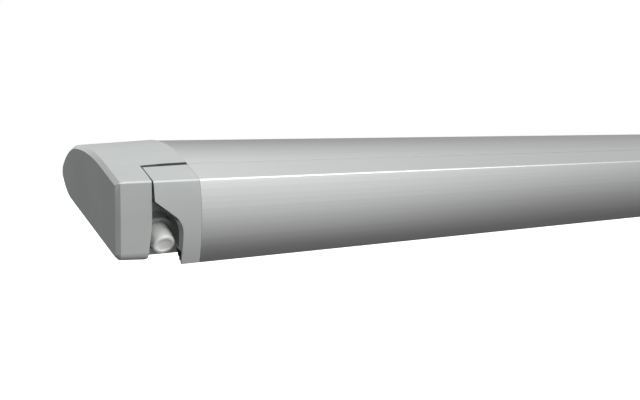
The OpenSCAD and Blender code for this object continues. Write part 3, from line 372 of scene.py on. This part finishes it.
def cap_finish(look):
    """Moulded grey plastic with a spark grain, slight flow marks, and a painted highlight along the
    ridge, which is also glossier.
    """
    finish = grained("cap_plastic", look.cap_plastic, Specular_IOR_Level=0.5,
                     grain=((1600, 1600, 1600), 2), cloud=((9, 22, 22), 3),
                     shade=(0.96, 1.03), gloss=(0.42, 0.56), relief=(0.12, 0.0002))
    # Painted highlight: where the attribute is 1, the ridge is painted lighter and made glossier.
    lightened = finish.add("ShaderNodeAttribute", settings={"attribute_name": "polish"}).outputs["Fac"]
    return finish.lighten(lightened, look.polish, rough=0.22).material


def coupler_finish(look):
    """Pale moulded plastic with long scuffs."""
    return grained("coupler_plastic", look.coupler, Specular_IOR_Level=0.5,
                   grain=((900, 900, 900), 2), cloud=((260, 60, 260), 4),
                   shade=(0.93, 1.02), gloss=(0.3, 0.42), relief=(0.08, 0.0002)).material


def cast_finish(look):
    """Die-cast alloy, blasted to an even dull grain."""
    return grained("cast_alloy", look.cast_alloy, Metallic=0.85,
                   grain=((1100, 1100, 1100), 3), cloud=((40, 40, 40), 3),
                   shade=(0.9, 1.06), gloss=(0.45, 0.62), relief=(0.25, 0.0003)).material


def steel_finish(look):
    """Turned and plated steel, slightly clouded."""
    return grained("plated_steel", look.steel, Metallic=1.0,
                   grain=((700, 700, 700), 3), cloud=((120, 120, 120), 2),
                   shade=(0.92, 1.04), gloss=(0.2, 0.34), relief=(0.06, 0.0001)).material


def black_finish(look):
    """Black moulded plastic, with one grain for all it varies."""
    return grained("black_plastic", look.black_plastic, Specular_IOR_Level=0.4,
                   grain=((1300, 1300, 1300), 2), cloud=None,
                   shade=(0.8, 1.3), gloss=(0.45, 0.62), relief=(0.2, 0.0002)).material


def dull_finish(name, colour):
    """Dull rubber, and the dull dark paint of the painted shadows, with a pale bloom along its
    length.
    """
    return grained(name, colour, Specular_IOR_Level=0.3,
                   grain=((500, 1500, 1500), 2), cloud=((14, 90, 90), 3),
                   shade=(0.8, 1.5), gloss=(0.6, 0.8), relief=(0.2, 0.0002)).material


def cloth_finish(look):
    """Coated weave that follows the cut of the cloth, with a stitched hem along both edges."""
    finish = Finish("canopy_cloth", look.cloth, Specular_IOR_Level=0.25, Sheen_Weight=0.15)
    cut = finish.add("ShaderNodeSeparateXYZ", finish.spread((1, 1, 1), "UV"))
    across, down = cut.outputs["X"], cut.outputs["Y"]

    def wave(output, pitch):
        return finish.calc("SINE", finish.calc("MULTIPLY", output, 2 * math.pi / pitch))

    weave = finish.calc("MULTIPLY", wave(across, WEAVE_PITCH), wave(down, WEAVE_PITCH))
    slub = finish.noise((300, 12, 1), detail=3, source="UV")
    finish.shade(slub, dark=0.9, light=1.06).gloss(slub, low=0.72, high=0.86)
    finish.relief(weave, strength=0.2, distance=0.0002)
    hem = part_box("canopy_sheet")[1][0] - bpy.context.scene.awning_sizes.hem
    seam = finish.calc("COMPARE", finish.calc("ABSOLUTE", across), hem, THREAD)
    stitch = finish.calc("GREATER_THAN", wave(down, STITCH_PITCH), STITCH_GAP)
    thread = finish.calc("MULTIPLY", seam, stitch)
    finish.lighten(thread, share=1.8, rough=0.6).relief(thread, strength=0.5, distance=0.0003)
    return finish.material


FINISHES = {
    "anodised": anodised_finish,
    "cap_plastic": cap_finish,
    "coupler_plastic": coupler_finish,
    "cast_alloy": cast_finish,
    "steel": steel_finish,
    "black_plastic": black_finish,
    "rubber": lambda look: dull_finish("rubber", look.rubber),
    "joint_strip": lambda look: dull_finish("joint_strip", look.strip),
    "notch_lining": lambda look: dull_finish("notch_lining", look.shadows),
    "cloth": cloth_finish,
}
MATERIALS = {}


def finish_of(slot):
    """The material of a slot, made when it is first asked for."""
    if slot not in MATERIALS:
        MATERIALS[slot] = FINISHES[slot](bpy.context.scene.awning_finish)
    return MATERIALS[slot]


def paint(node):
    """Gives a CAD node that stays the procedural finish of its slot."""
    materials = NODES[node].data.materials
    materials.clear()
    materials.append(finish_of(SLOT_OF[node]))


def piece(name, mesh, slot, body, *nodes):
    """A finished piece with its slot's material, on its body, in place of the nodes named."""
    mesh.materials.clear()
    mesh.materials.append(finish_of(slot))
    obj = bpy.data.objects.new(name, mesh)
    bpy.context.scene.collection.objects.link(obj)
    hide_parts(*nodes)
    if body:
        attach(obj, body)
    return obj


def smooth(mesh):
    """Shades a mesh smooth between its creases."""
    mesh.polygons.foreach_set("use_smooth", [True] * len(mesh.polygons))
    mesh.set_sharp_from_angle(angle=CREASE)
    return mesh


def mesh_of(name, work, recalc=True):
    """Turns a bmesh into a mesh with outward faces and smooth rounds."""
    if recalc:
        bmesh.ops.recalc_face_normals(work, faces=work.faces)
    mesh = bpy.data.meshes.new(name)
    work.to_mesh(mesh)
    work.free()
    return smooth(mesh)


def evaluated(obj):
    """The object's mesh with its modifiers applied; the object itself is removed."""
    graph = bpy.context.evaluated_depsgraph_get()
    mesh = bpy.data.meshes.new_from_object(obj.evaluated_get(graph))
    obj.modifiers.clear()
    bpy.data.objects.remove(obj)
    return mesh


def level(mesh):
    """Keeps the shading of the broad faces flat beside their rounded edges."""
    host = bpy.data.objects.new(mesh.name, mesh)
    bpy.context.scene.collection.objects.link(host)
    modifier = host.modifiers.new("level", "WEIGHTED_NORMAL")
    modifier.mode = "FACE_AREA"
    modifier.weight = LEVEL_WEIGHT
    modifier.keep_sharp = True
    return evaluated(host)


def solid_copy(node):
    """A merged copy of a CAD node's mesh, with its flat faces whole."""
    work = bmesh.new()
    work.from_mesh(NODES[node].data)
    bmesh.ops.remove_doubles(work, verts=work.verts, dist=MERGE)
    bmesh.ops.dissolve_limit(work, angle_limit=FLAT, verts=work.verts, edges=work.edges)
    return work


def ease(work, radius, chosen, steps=EDGE_STEPS):
    """Rounds the chosen sharp edges of a closed mesh and returns the faces of the rounds."""
    edges = [edge for edge in work.edges
             if edge.is_manifold and edge.calc_face_angle(0) > SHARP and chosen(edge)]
    return bmesh.ops.bevel(work, geom=edges, offset=radius, segments=steps, profile=0.5,
                           affect="EDGES", clamp_overlap=True)["faces"]


def eased(node, radius, name=None, ridge=0.0, keep=None, shape=None):
    """A CAD node with its sharp edges rounded, in the node's place.
    The front ridge takes a radius of its own and is marked for the painted highlight of the caps.
    The edges that keep picks stay sharp, and shape works on the mesh first."""
    work = solid_copy(node)
    if shape:
        shape(work)
    if ridge:
        # This attribute marks the ridge for its painted highlight.
        polish = work.verts.layers.float.new("polish")
        rounds = set(ease(work, ridge, on_ridge, RIDGE_STEPS))
        for vert in {vert for face in rounds for vert in face.verts}:
            vert[polish] = float(all(face in rounds or abs(face.normal.x) > SIDEWAYS
                                     for face in vert.link_faces))
    ease(work, radius, lambda edge: not (keep and keep(edge)))
    bmesh.ops.dissolve_degenerate(work, dist=MERGE, edges=work.edges)
    mesh = level(mesh_of(node + "_eased", work, recalc=False))
    return piece(name or node + "_eased", mesh, SLOT_OF[node], BODY_OF[node], node)


def paint_shadow(cap, finish, chosen):
    """Paints the chosen faces of a cap with a dark finish, as painted shadow."""
    cap.data.materials.append(finish_of(finish))
    faces = [face for face in cap.data.polygons if chosen(face)]
    if not faces:
        raise RuntimeError(f"{cap.name} has no face for its {finish}")
    for face in faces:
        face.material_index = 1


def on_ridge(edge):
    """Whether an edge lies along the front ridge of the rail and the caps."""
    front = min(v.co.y for v in edge.verts) - CAD_BOX[0][1]
    return front < RIDGE_REACH and all(abs(v.co.z) < RIDGE_REACH / 2 for v in edge.verts) and (
        abs(edge.verts[0].co.x - edge.verts[1].co.x) > RIDGE_REACH)


def in_joint(edge):
    """Whether an edge lies in the top joint behind the rail and its caps."""
    joint = bpy.context.scene.awning_sizes.joint_y
    return all(-JOINT_FRONT < v.co.y - joint < JOINT_BACK and v.co.z > 0 for v in edge.verts)


def quarter(steps):
    """The angles of a quarter turn in even steps."""
    return [math.pi / 2 * i / steps for i in range(steps + 1)]


def lathe(profile, steps=64):
    """A closed round body about +Z from (radius, height) points."""
    work = bmesh.new()
    rings = []
    for radius, height in profile:
        if radius:
            rings.append([work.verts.new((radius * math.cos(a), radius * math.sin(a), height))
                          for a in (2 * math.pi * i / steps for i in range(steps))])
        else:
            rings.append([work.verts.new((0, 0, height))])
    for low, high in zip(rings, rings[1:]):
        for i in range(steps):
            corners = [low[i % len(low)], low[(i + 1) % len(low)],
                       high[(i + 1) % len(high)], high[i % len(high)]]
            work.faces.new(list(dict.fromkeys(corners)))
    return work


def along(axis, origin):
    """Matrix that takes +Z to axis and the origin to a place."""
    return Matrix.Translation(origin) @ Vector(axis).to_track_quat("Z", "Y").to_matrix().to_4x4()


class Rule(Tree):
    """A Geometry Nodes rule with named inputs, run once and kept as a plain mesh."""

    def __init__(self, name):
        super().__init__(bpy.data.node_groups.new(name, "GeometryNodeTree"))
        self.name = name
        self.tree.interface.new_socket("Geometry", in_out="OUTPUT",
                                       socket_type="NodeSocketGeometry")
        self.source = self.add("NodeGroupInput")
        self.values = {}

    def size(self, name, value, kind="NodeSocketFloat"):
        """A named input of the rule, with the value it is run with."""
        item = self.tree.interface.new_socket(name, in_out="INPUT", socket_type=kind)
        self.values[item.identifier] = value
        return self.source.outputs[name]

    def mesh(self, geometry, slot):
        """Runs the rule and returns its mesh in the slot's material."""
        realised = self.add("GeometryNodeRealizeInstances", Geometry=geometry).outputs["Geometry"]
        dressed = self.add("GeometryNodeSetMaterial", Geometry=realised, Material=finish_of(slot))
        self.add("NodeGroupOutput", Geometry=dressed.outputs["Geometry"])
        host = bpy.data.objects.new(self.name, bpy.data.meshes.new(self.name))
        bpy.context.scene.collection.objects.link(host)
        modifier = host.modifiers.new(self.name, "NODES")
        modifier.node_group = self.tree
        for identifier, value in self.values.items():
            modifier[identifier] = value
        mesh = evaluated(host)
        if not mesh.polygons:
            raise RuntimeError(f"the rule {self.name} made no faces")
        return smooth(mesh)


class AWNING_OT_case(bpy.types.Operator):
    """Draws the case extrusion"""
    bl_idname = "awning.case"
    bl_label = "Case extrusion"

    def execute(self, context):
        eased("case_profile", context.scene.awning_sizes.edge, "case_extrusion")
        return {"FINISHED"}


class AWNING_OT_end_caps(bpy.types.Operator):
    """Moulds the two end caps and the plug that closes the right one"""
    bl_idname = "awning.end_caps"
    bl_label = "End caps"

    def execute(self, context):
        sizes = context.scene.awning_sizes
        for side in SIDES:
            cap = eased("end_cap_" + side, sizes.cap_edge, ridge=sizes.cap_ridge, keep=in_joint,
                        shape=self.mould)
            # Painted shadow: the wall in the top joint, above its foot, is painted dark where the
            # gap lies in shade.
            paint_shadow(cap, "joint_strip", lambda face: (
                face.normal.y < -FACING and face.center.z > 0
                and abs(face.center.y - sizes.joint_y) < sizes.edge))
        eased("blanking_plug", sizes.cap_edge, shape=self.fill)
        return {"FINISHED"}

    def fill(self, work):
        """Brings the head of the plug out along the crank's line, to fill the hole in the cap."""
        out = -Vector(JOINTS["crank_spin"]["axis"])
        head = max(v.co.dot(out) for v in work.verts)
        for v in work.verts:
            if head - v.co.dot(out) < HEAD_DEPTH:
                v.co += bpy.context.scene.awning_sizes.plug_reach * out

    def mould(self, work):
        """Gives a cap the edge of its painted joint shadow and its sloping foot."""
        sizes = bpy.context.scene.awning_sizes
        self.part(work, sizes)
        self.lower(work, sizes)

    def part(self, work, sizes):
        """Divides the wall behind the rail cap where the painted shadow of the top joint starts."""
        wall = [face for face in work.faces if face.normal.y < -SQUARE and (
            abs(face.calc_center_median().y - sizes.joint_y) < JOINT_PLAY)]
        parts = {*wall, *(edge for face in wall for edge in face.edges),
                 *(vert for face in wall for vert in face.verts)}
        bmesh.ops.bisect_plane(work, geom=list(parts), plane_co=(0, 0, SHADOW_FOOT),
                               plane_no=(0, 0, 1))

    def lower(self, work, sizes):
        """Lets the foot of a cap's column fall towards the notch."""
        column = [v for v in work.verts if v.co.y < sizes.joint_y - COLUMN_GAP]
        inner, outer = (fit(abs(v.co.x) for v in column) for fit in (min, max))
        floor = min(v.co.z for v in column)
        for v in column:
            share = max(0.0, 1 - (v.co.z - floor) / sizes.foot_h)
            v.co.z -= sizes.foot_fall * share * (outer - abs(v.co.x)) / (outer - inner)


class AWNING_OT_lead_rail(bpy.types.Operator):
    """Draws the lead rail extrusion with its bright ridge"""
    bl_idname = "awning.lead_rail"
    bl_label = "Lead rail"

    def execute(self, context):
        sizes = context.scene.awning_sizes
        eased("lead_rail", sizes.edge, "lead_rail_extrusion", ridge=sizes.ridge_edge, keep=in_joint)
        return {"FINISHED"}


class AWNING_OT_rail_caps(bpy.types.Operator):
    """Moulds the caps at the ends of the lead rail"""
    bl_idname = "awning.rail_caps"
    bl_label = "Rail caps"

    def execute(self, context):
        sizes = context.scene.awning_sizes
        for side in SIDES:
            cap = eased("rail_cap_" + side, sizes.cap_edge, ridge=sizes.cap_ridge, keep=in_joint,
                        shape=self.settle)
            outer = max(abs(v.co.x) for v in cap.data.vertices)
            # Painted shadow: the outer end wall in the gap and the undersides of the notch are
            # painted dark, where they lie in shade.
            paint_shadow(cap, "notch_lining", lambda face: (
                abs(face.center.x) > outer - sizes.edge and abs(face.normal.x) > SQUARE) or (
                face.normal.z < -LEANING and face.center.z > -sizes.notch_h))
        return {"FINISHED"}

    def settle(self, work):
        """Lowers the top of a rail cap towards its outer end, as the end cap behind it falls."""
        sizes = bpy.context.scene.awning_sizes
        inner, outer = (fit(abs(v.co.x) for v in work.verts) for fit in (min, max))
        ridge, rear = (fit(v.co.y for v in work.verts) for fit in (min, max))
        side = math.copysign(1, next(iter(work.verts)).co.x)
        for step in range(1, SETTLE_STEPS):
            cut = side * (inner + (outer - inner) * step / SETTLE_STEPS)
            bmesh.ops.bisect_plane(work, geom=[*work.verts, *work.edges, *work.faces],
                                   plane_co=(cut, 0, 0), plane_no=(1, 0, 0))
        for v in work.verts:
            if v.co.z > -sizes.cap_edge * SETTLE_EDGES:
                share = (abs(v.co.x) - inner) / (outer - inner) * (v.co.y - ridge) / (rear - ridge)
                v.co.z -= sizes.cap_settle * share


class AWNING_OT_seal(bpy.types.Operator):
    """Draws the ribbed rubber seal under the rail"""
    bl_idname = "awning.seal"
    bl_label = "Bottom seal"

    def execute(self, context):
        eased("bottom_seal", context.scene.awning_sizes.edge, shape=self.reach)
        return {"FINISHED"}

    def reach(self, work):
        """Brings the ends of the seal flush with the notches of the rail caps."""
        for vert in work.verts:
            vert.co.x += math.copysign(bpy.context.scene.awning_sizes.seal_reach, vert.co.x)


class AWNING_OT_coupler(bpy.types.Operator):
    """Turns the crank coupler with its dished end"""
    bl_idname = "awning.coupler"
    bl_label = "Crank coupler"

    def execute(self, context):
        sizes = context.scene.awning_sizes
        r, back = sizes.coupler_r, -sizes.coupler_l
        rim, dish = sizes.coupler_rim, sizes.coupler_dish
        chamfer = rim / 4
        soft = [(r - rim / 2 * (1 - math.cos(a)), -rim / 2 * (1 - math.sin(a)))
                for a in quarter(RIM_STEPS)]
        bowl = [((r - rim) * math.cos(a), -dish * math.sin(a)) for a in quarter(DISH_STEPS)]
        work = lathe([(0, back), (r - chamfer, back), (r, back + chamfer), *soft, *bowl[:-1],
                      (0, -dish)])
        mount = MOUNTS["crank_coupler"]
        work.transform(along(mount["axis"], mount["pos_m"]))
        piece("crank_coupler_turned", mesh_of("crank_coupler_turned", work), "coupler_plastic",
              BODY_OF["crank_coupler"], "crank_coupler")
        return {"FINISHED"}


class AWNING_OT_canopy(bpy.types.Operator):
    """Hangs the run of canopy and winds the rest on the roller"""
    bl_idname = "awning.canopy"
    bl_label = "Canopy"

    def execute(self, context):
        sizes = context.scene.awning_sizes
        self.run(sizes)
        self.roll(sizes)
        return {"FINISHED"}

    def run(self, sizes):
        """The stretched cloth between the bead of the rail and the roller."""
        low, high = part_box("canopy_sheet")
        half = (high[0] - low[0]) / 2
        slope = Vector((0, math.cos(sizes.pitch), math.sin(sizes.pitch)))
        up = Vector((0, -math.sin(sizes.pitch), math.cos(sizes.pitch)))
        span = (high[1] - low[1] - sizes.cloth_t * math.sin(sizes.pitch)) / math.cos(sizes.pitch)
        front = Vector((0, high[1] - span * math.cos(sizes.pitch),
                        high[2] - span * math.sin(sizes.pitch)))
        front -= up * sizes.cloth_t
        work = bmesh.new()
        grid = {}
        for side in (0, 1):
            for i in range(RUN_ROWS + 1):
                for k in range(RUN_COLUMNS + 1):
                    place = front + slope * (span * i / RUN_ROWS) + up * (sizes.cloth_t * side)
                    place += Vector((half * (2 * k / RUN_COLUMNS - 1), 0, 0))
                    grid[side, i, k] = work.verts.new(place)
        self.close(work, grid)
        self.lay_out(work, front, slope, span)
        sheet = piece("canopy_run", mesh_of("canopy_run", work), "cloth", None, "canopy_sheet")
        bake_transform(sheet)

    def close(self, work, grid):
        """Closes the two sides and the four edges of the cloth with faces."""
        for i in range(RUN_ROWS):
            for k in range(RUN_COLUMNS):
                for side in (0, 1):
                    ring = [grid[side, i, k], grid[side, i, k + 1],
                            grid[side, i + 1, k + 1], grid[side, i + 1, k]]
                    work.faces.new(ring if side else ring[::-1])
        edge = [*((0, k) for k in range(RUN_COLUMNS)), *((i, RUN_COLUMNS) for i in range(RUN_ROWS)),
                *((RUN_ROWS, k) for k in range(RUN_COLUMNS, 0, -1)),
                *((i, 0) for i in range(RUN_ROWS, 0, -1))]
        for (i, k), (j, m) in zip(edge, edge[1:] + edge[:1]):
            work.faces.new([grid[0, i, k], grid[0, j, m], grid[1, j, m], grid[1, i, k]])

    def lay_out(self, work, front, slope, span):
        """Maps the cloth by its length when the canopy is out, so that the weave is right
        there."""
        travel = max(JOINTS["canopy_feed"]["range_m"])
        layer = work.loops.layers.uv.new("cut")
        for face in work.faces:
            for loop in face.loops:
                t = (loop.vert.co - front).dot(slope) / span
                loop[layer].uv = (loop.vert.co.x, t * span + t * t * (3 - 2 * t) * travel)

    def roll(self, sizes):
        """The wound cloth, a spiral from the roller tube outwards."""
        low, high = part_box("canopy_roll")
        outer = (high[2] - low[2]) / 2 - sizes.cloth_play
        turns = (outer - sizes.tube_r) / sizes.cloth_t
        rule = Rule("wound_canopy")
        wind = rule.add("GeometryNodeCurveSpiral", Height=0.0, Rotations=rule.size("Turns", turns),
                        Resolution=rule.size("Steps", sizes.wind_steps, "NodeSocketInt"),
                        Start_Radius=rule.size("Tube radius", sizes.tube_r),
                        End_Radius=rule.size("Outer radius", outer))
        cut = rule.add("GeometryNodeCurvePrimitiveQuadrilateral",
                       Width=rule.size("Cloth thickness", sizes.cloth_t - sizes.cloth_play),
                       Height=rule.size("Cloth width", high[0] - low[0]))
        swept = rule.add("GeometryNodeCurveToMesh", Curve=wind.outputs["Curve"],
                         Profile_Curve=cut.outputs["Curve"], Fill_Caps=True)
        mesh = rule.mesh(swept.outputs["Mesh"], "cloth")
        centre = (Vector(low) + Vector(high)) / 2
        mesh.transform(along((1, 0, 0), centre))
        layer = mesh.uv_layers.new(name="cut")
        for loop in mesh.loops:
            place = mesh.vertices[loop.vertex_index].co - centre
            turned = math.atan2(place.z, place.y)
            layer.data[loop.index].uv = (place.x, turned * math.hypot(place.y, place.z))
        roll = piece("canopy_wound", mesh, "cloth", BODY_OF["canopy_roll"], "canopy_roll")


class AWNING_OT_arms(bpy.types.Operator):
    """Finishes the folding arms and rivets their castings"""
    bl_idname = "awning.arms"
    bl_label = "Folding arms"

    def execute(self, context):
        sizes = context.scene.awning_sizes
        for side in SIDES:
            for node in ("upper_arm_", "forearm_", "shoulder_knuckle_", "elbow_fork_",
                         "elbow_tongue_", "wrist_knuckle_"):
                eased(node + side, sizes.edge)
            self.rivets(sizes, "upper_arm_" + side, sizes.upper_w)
            self.rivets(sizes, "forearm_" + side, sizes.fore_w)
        return {"FINISHED"}

    def rivets(self, sizes, node, width):
        """Four rivet heads on both sides of a tube at each end, where the castings are held."""
        low, high = (Vector(corner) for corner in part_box(node))
        rule = Rule("rivets_" + node)
        ball = rule.add("GeometryNodeMeshUVSphere", Segments=RIVET_SEGMENTS, Rings=RIVET_RINGS,
                        Radius=rule.size("Rivet radius", sizes.rivet_r))
        flat = rule.add("ShaderNodeCombineXYZ", X=1.0, Z=1.0,
                        Y=rule.size("Head share", sizes.rivet_h / sizes.rivet_r))
        head = rule.add("GeometryNodeTransform", Geometry=ball.outputs["Mesh"],
                        Scale=flat.outputs["Vector"])
        pitch = rule.size("Rivet pitch", sizes.rivet_pitch)
        square = rule.add("GeometryNodeMeshGrid", Size_X=pitch, Size_Y=pitch, Vertices_X=2,
                          Vertices_Y=2)
        upright = rule.add("GeometryNodeTransform", Geometry=square.outputs["Mesh"],
                           Rotation=(math.pi / 2, 0, 0))
        group = rule.add("GeometryNodeInstanceOnPoints", Points=upright.outputs["Geometry"],
                         Instance=head.outputs["Geometry"])
        distance = high.x - low.x - 2 * sizes.rivet_inset
        ends = rule.add("GeometryNodeMeshGrid", Size_X=rule.size("Group distance", distance),
                        Size_Y=rule.size("Tube width", width), Vertices_X=2, Vertices_Y=2)
        groups = rule.add("GeometryNodeInstanceOnPoints", Points=ends.outputs["Mesh"],
                          Instance=group.outputs["Instances"])
        mesh = rule.mesh(groups.outputs["Instances"], "steel")
        mesh.transform(Matrix.Translation((low + high) / 2) @ Matrix.Rotation(sizes.pitch, 4, "X"))
        piece("rivets_" + node, mesh, "steel", BODY_OF[node])


class AWNING_OT_legs(bpy.types.Operator):
    """Finishes the support legs"""
    bl_idname = "awning.legs"
    bl_label = "Support legs"

    def execute(self, context):
        sizes = context.scene.awning_sizes
        for side in SIDES:
            for node in ("leg_tube_", "leg_inner_", "leg_collar_", "leg_foot_", "leg_lever_"):
                eased(node + side, sizes.edge)
        return {"FINISHED"}


class AWNING_OT_plain(bpy.types.Operator):
    """Finishes the pieces that keep their solid shape"""
    bl_idname = "awning.plain"
    bl_label = "Drive and fittings"

    def execute(self, context):
        for node, obj in NODES.items():
            if not obj.hide_render:
                paint(node)
        return {"FINISHED"}


class AWNING_OT_stage(bpy.types.Operator):
    """Sets the pale floor, the soft light and the camera"""
    bl_idname = "awning.stage"
    bl_label = "Studio stage"

    def execute(self, context):
        stage = context.scene.awning_stage
        self.floor(stage)
        self.sky(context.scene, stage)
        self.lights(stage)
        self.camera(context.scene, stage)
        context.scene.view_settings.view_transform = "Standard"
        return {"FINISHED"}

    def floor(self, stage):
        """A pale paper floor that the camera sees, and that casts no light on the awning."""
        bpy.ops.mesh.primitive_plane_add(size=FLOOR_SIZE, location=(0, 0, stage.floor_z))
        plane = bpy.context.object
        plane.name = "studio_floor"
        paper = Finish("floor_paper", PAPER, Roughness=0.9, Emission_Color=WHITE,
                       Emission_Strength=0.75)
        plane.data.materials.append(paper.material)
        plane.visible_diffuse = False
        plane.visible_glossy = False

    def sky(self, scene, stage):
        """A soft sky, pale above, dark below and flagged at the front left; a white backdrop."""
        scene.world = bpy.data.worlds.new("studio_sky")
        scene.world.use_nodes = True
        sky = Tree(scene.world.node_tree)
        sky.tree.nodes.clear()
        gaze = sky.add("ShaderNodeTexCoord").outputs["Generated"]

        def towards(lean):
            product = {"operation": "DOT_PRODUCT"}
            return sky.add("ShaderNodeVectorMath", gaze, lean, settings=product).outputs["Value"]

        flag = sky.ramp(towards(FLAG_LEAN), 1.0, stage.flag, start=0.0, stop=1.0)
        right = sky.add("ShaderNodeSeparateXYZ", gaze).outputs["X"]
        far = sky.ramp(right, stage.sky, stage.far, start=FAR_START, stop=1.0)
        height = sky.ramp(towards(SKY_LEAN), 0.0, 1.0, start=-1.0, stop=1.0)
        ramp = sky.add("ShaderNodeValToRGB", height)
        stops = ramp.color_ramp.elements
        stops.remove(stops[1])
        for place, tone in SKY_STOPS:
            stop = stops.new(place) if place else stops[0]
            stop.color = (tone, tone, tone, 1)
        strength = sky.calc("MULTIPLY", flag, far)
        soft = sky.add("ShaderNodeBackground", ramp.outputs["Color"], strength)
        backdrop = sky.add("ShaderNodeBackground", WHITE)
        seen = sky.add("ShaderNodeLightPath").outputs["Is Camera Ray"]
        mix = sky.add("ShaderNodeMixShader", seen, soft.outputs["Background"],
                      backdrop.outputs["Background"])
        sky.add("ShaderNodeOutputWorld", mix.outputs["Shader"])

    def lights(self, stage):
        """The softboxes of the table, with their powers from the stage."""
        for name, size, (x, y, z), aim, hidden, words in SOFTBOXES:
            place = Vector((x, y, stage.floor_z + FLOOR_LIFT if z is None else z))
            box = self.softbox(name + "_softbox", getattr(stage, name), size, place, Vector(aim))
            if hidden:
                setattr(box, hidden, False)
            if words:
                self.only(box, *words)

    def only(self, box, *words):
        """Lets a light reach only the pieces with one of the words in their name."""
        reached = bpy.data.collections.new(box.name + "_pieces")
        for obj in bpy.data.objects:
            if any(word in obj.name for word in words):
                reached.objects.link(obj)
        box.light_linking.receiver_collection = reached

    def softbox(self, name, watts, size, place, aim):
        """A rectangular soft light at a place, turned to what it is aimed at."""
        lamp = bpy.data.lights.new(name, "AREA")
        lamp.shape = "RECTANGLE"
        lamp.size, lamp.size_y = size
        lamp.energy = watts
        box = bpy.data.objects.new(name, lamp)
        box.location = place
        box.rotation_euler = (aim - place).to_track_quat("-Z", "Y").to_euler()
        bpy.context.scene.collection.objects.link(box)
        return box

    def camera(self, scene, stage):
        """The camera where the photograph was taken."""
        data = bpy.data.cameras.new("photo_camera")
        data.lens = stage.lens
        data.sensor_width = SENSOR_W
        data.sensor_fit = "HORIZONTAL"
        camera = bpy.data.objects.new("photo_camera", data)
        camera.location = stage.camera
        camera.rotation_euler = (math.pi / 2 - stage.dip, 0, -stage.turn)
        scene.collection.objects.link(camera)
        scene.camera = camera


class AWNING_PT_panel(bpy.types.Panel):
    """Lists the steps that dress the awning"""
    bl_label = "Cassette awning"
    bl_idname = "AWNING_PT_panel"
    bl_space_type = "VIEW_3D"
    bl_region_type = "UI"
    bl_category = "Awning"

    def draw(self, context):
        for group in (getattr(context.scene, name) for name in GROUPS):
            box = self.layout.box()
            for name in group.bl_rna.properties.keys():
                if name not in ("rna_type", "name"):
                    box.prop(group, name)
        for step in STEPS:
            self.layout.operator(step.bl_idname)


GROUPS = {"awning_sizes": AwningSizes, "awning_finish": AwningFinish, "awning_stage": AwningStage}
STEPS = (AWNING_OT_case, AWNING_OT_end_caps, AWNING_OT_lead_rail, AWNING_OT_rail_caps,
         AWNING_OT_seal, AWNING_OT_coupler, AWNING_OT_canopy, AWNING_OT_arms, AWNING_OT_legs,
         AWNING_OT_plain, AWNING_OT_stage)


def register():
    for cls in (*GROUPS.values(), *STEPS, AWNING_PT_panel):
        bpy.utils.register_class(cls)
    for name, cls in GROUPS.items():
        setattr(bpy.types.Scene, name, PointerProperty(type=cls))


def unregister():
    for name in GROUPS:
        delattr(bpy.types.Scene, name)
    for cls in reversed((*GROUPS.values(), *STEPS, AWNING_PT_panel)):
        bpy.utils.unregister_class(cls)


def main():
    register()
    for step in STEPS:
        group, name = step.bl_idname.split(".")
        getattr(getattr(bpy.ops, group), name)()


if __name__ == "__main__":
    main()
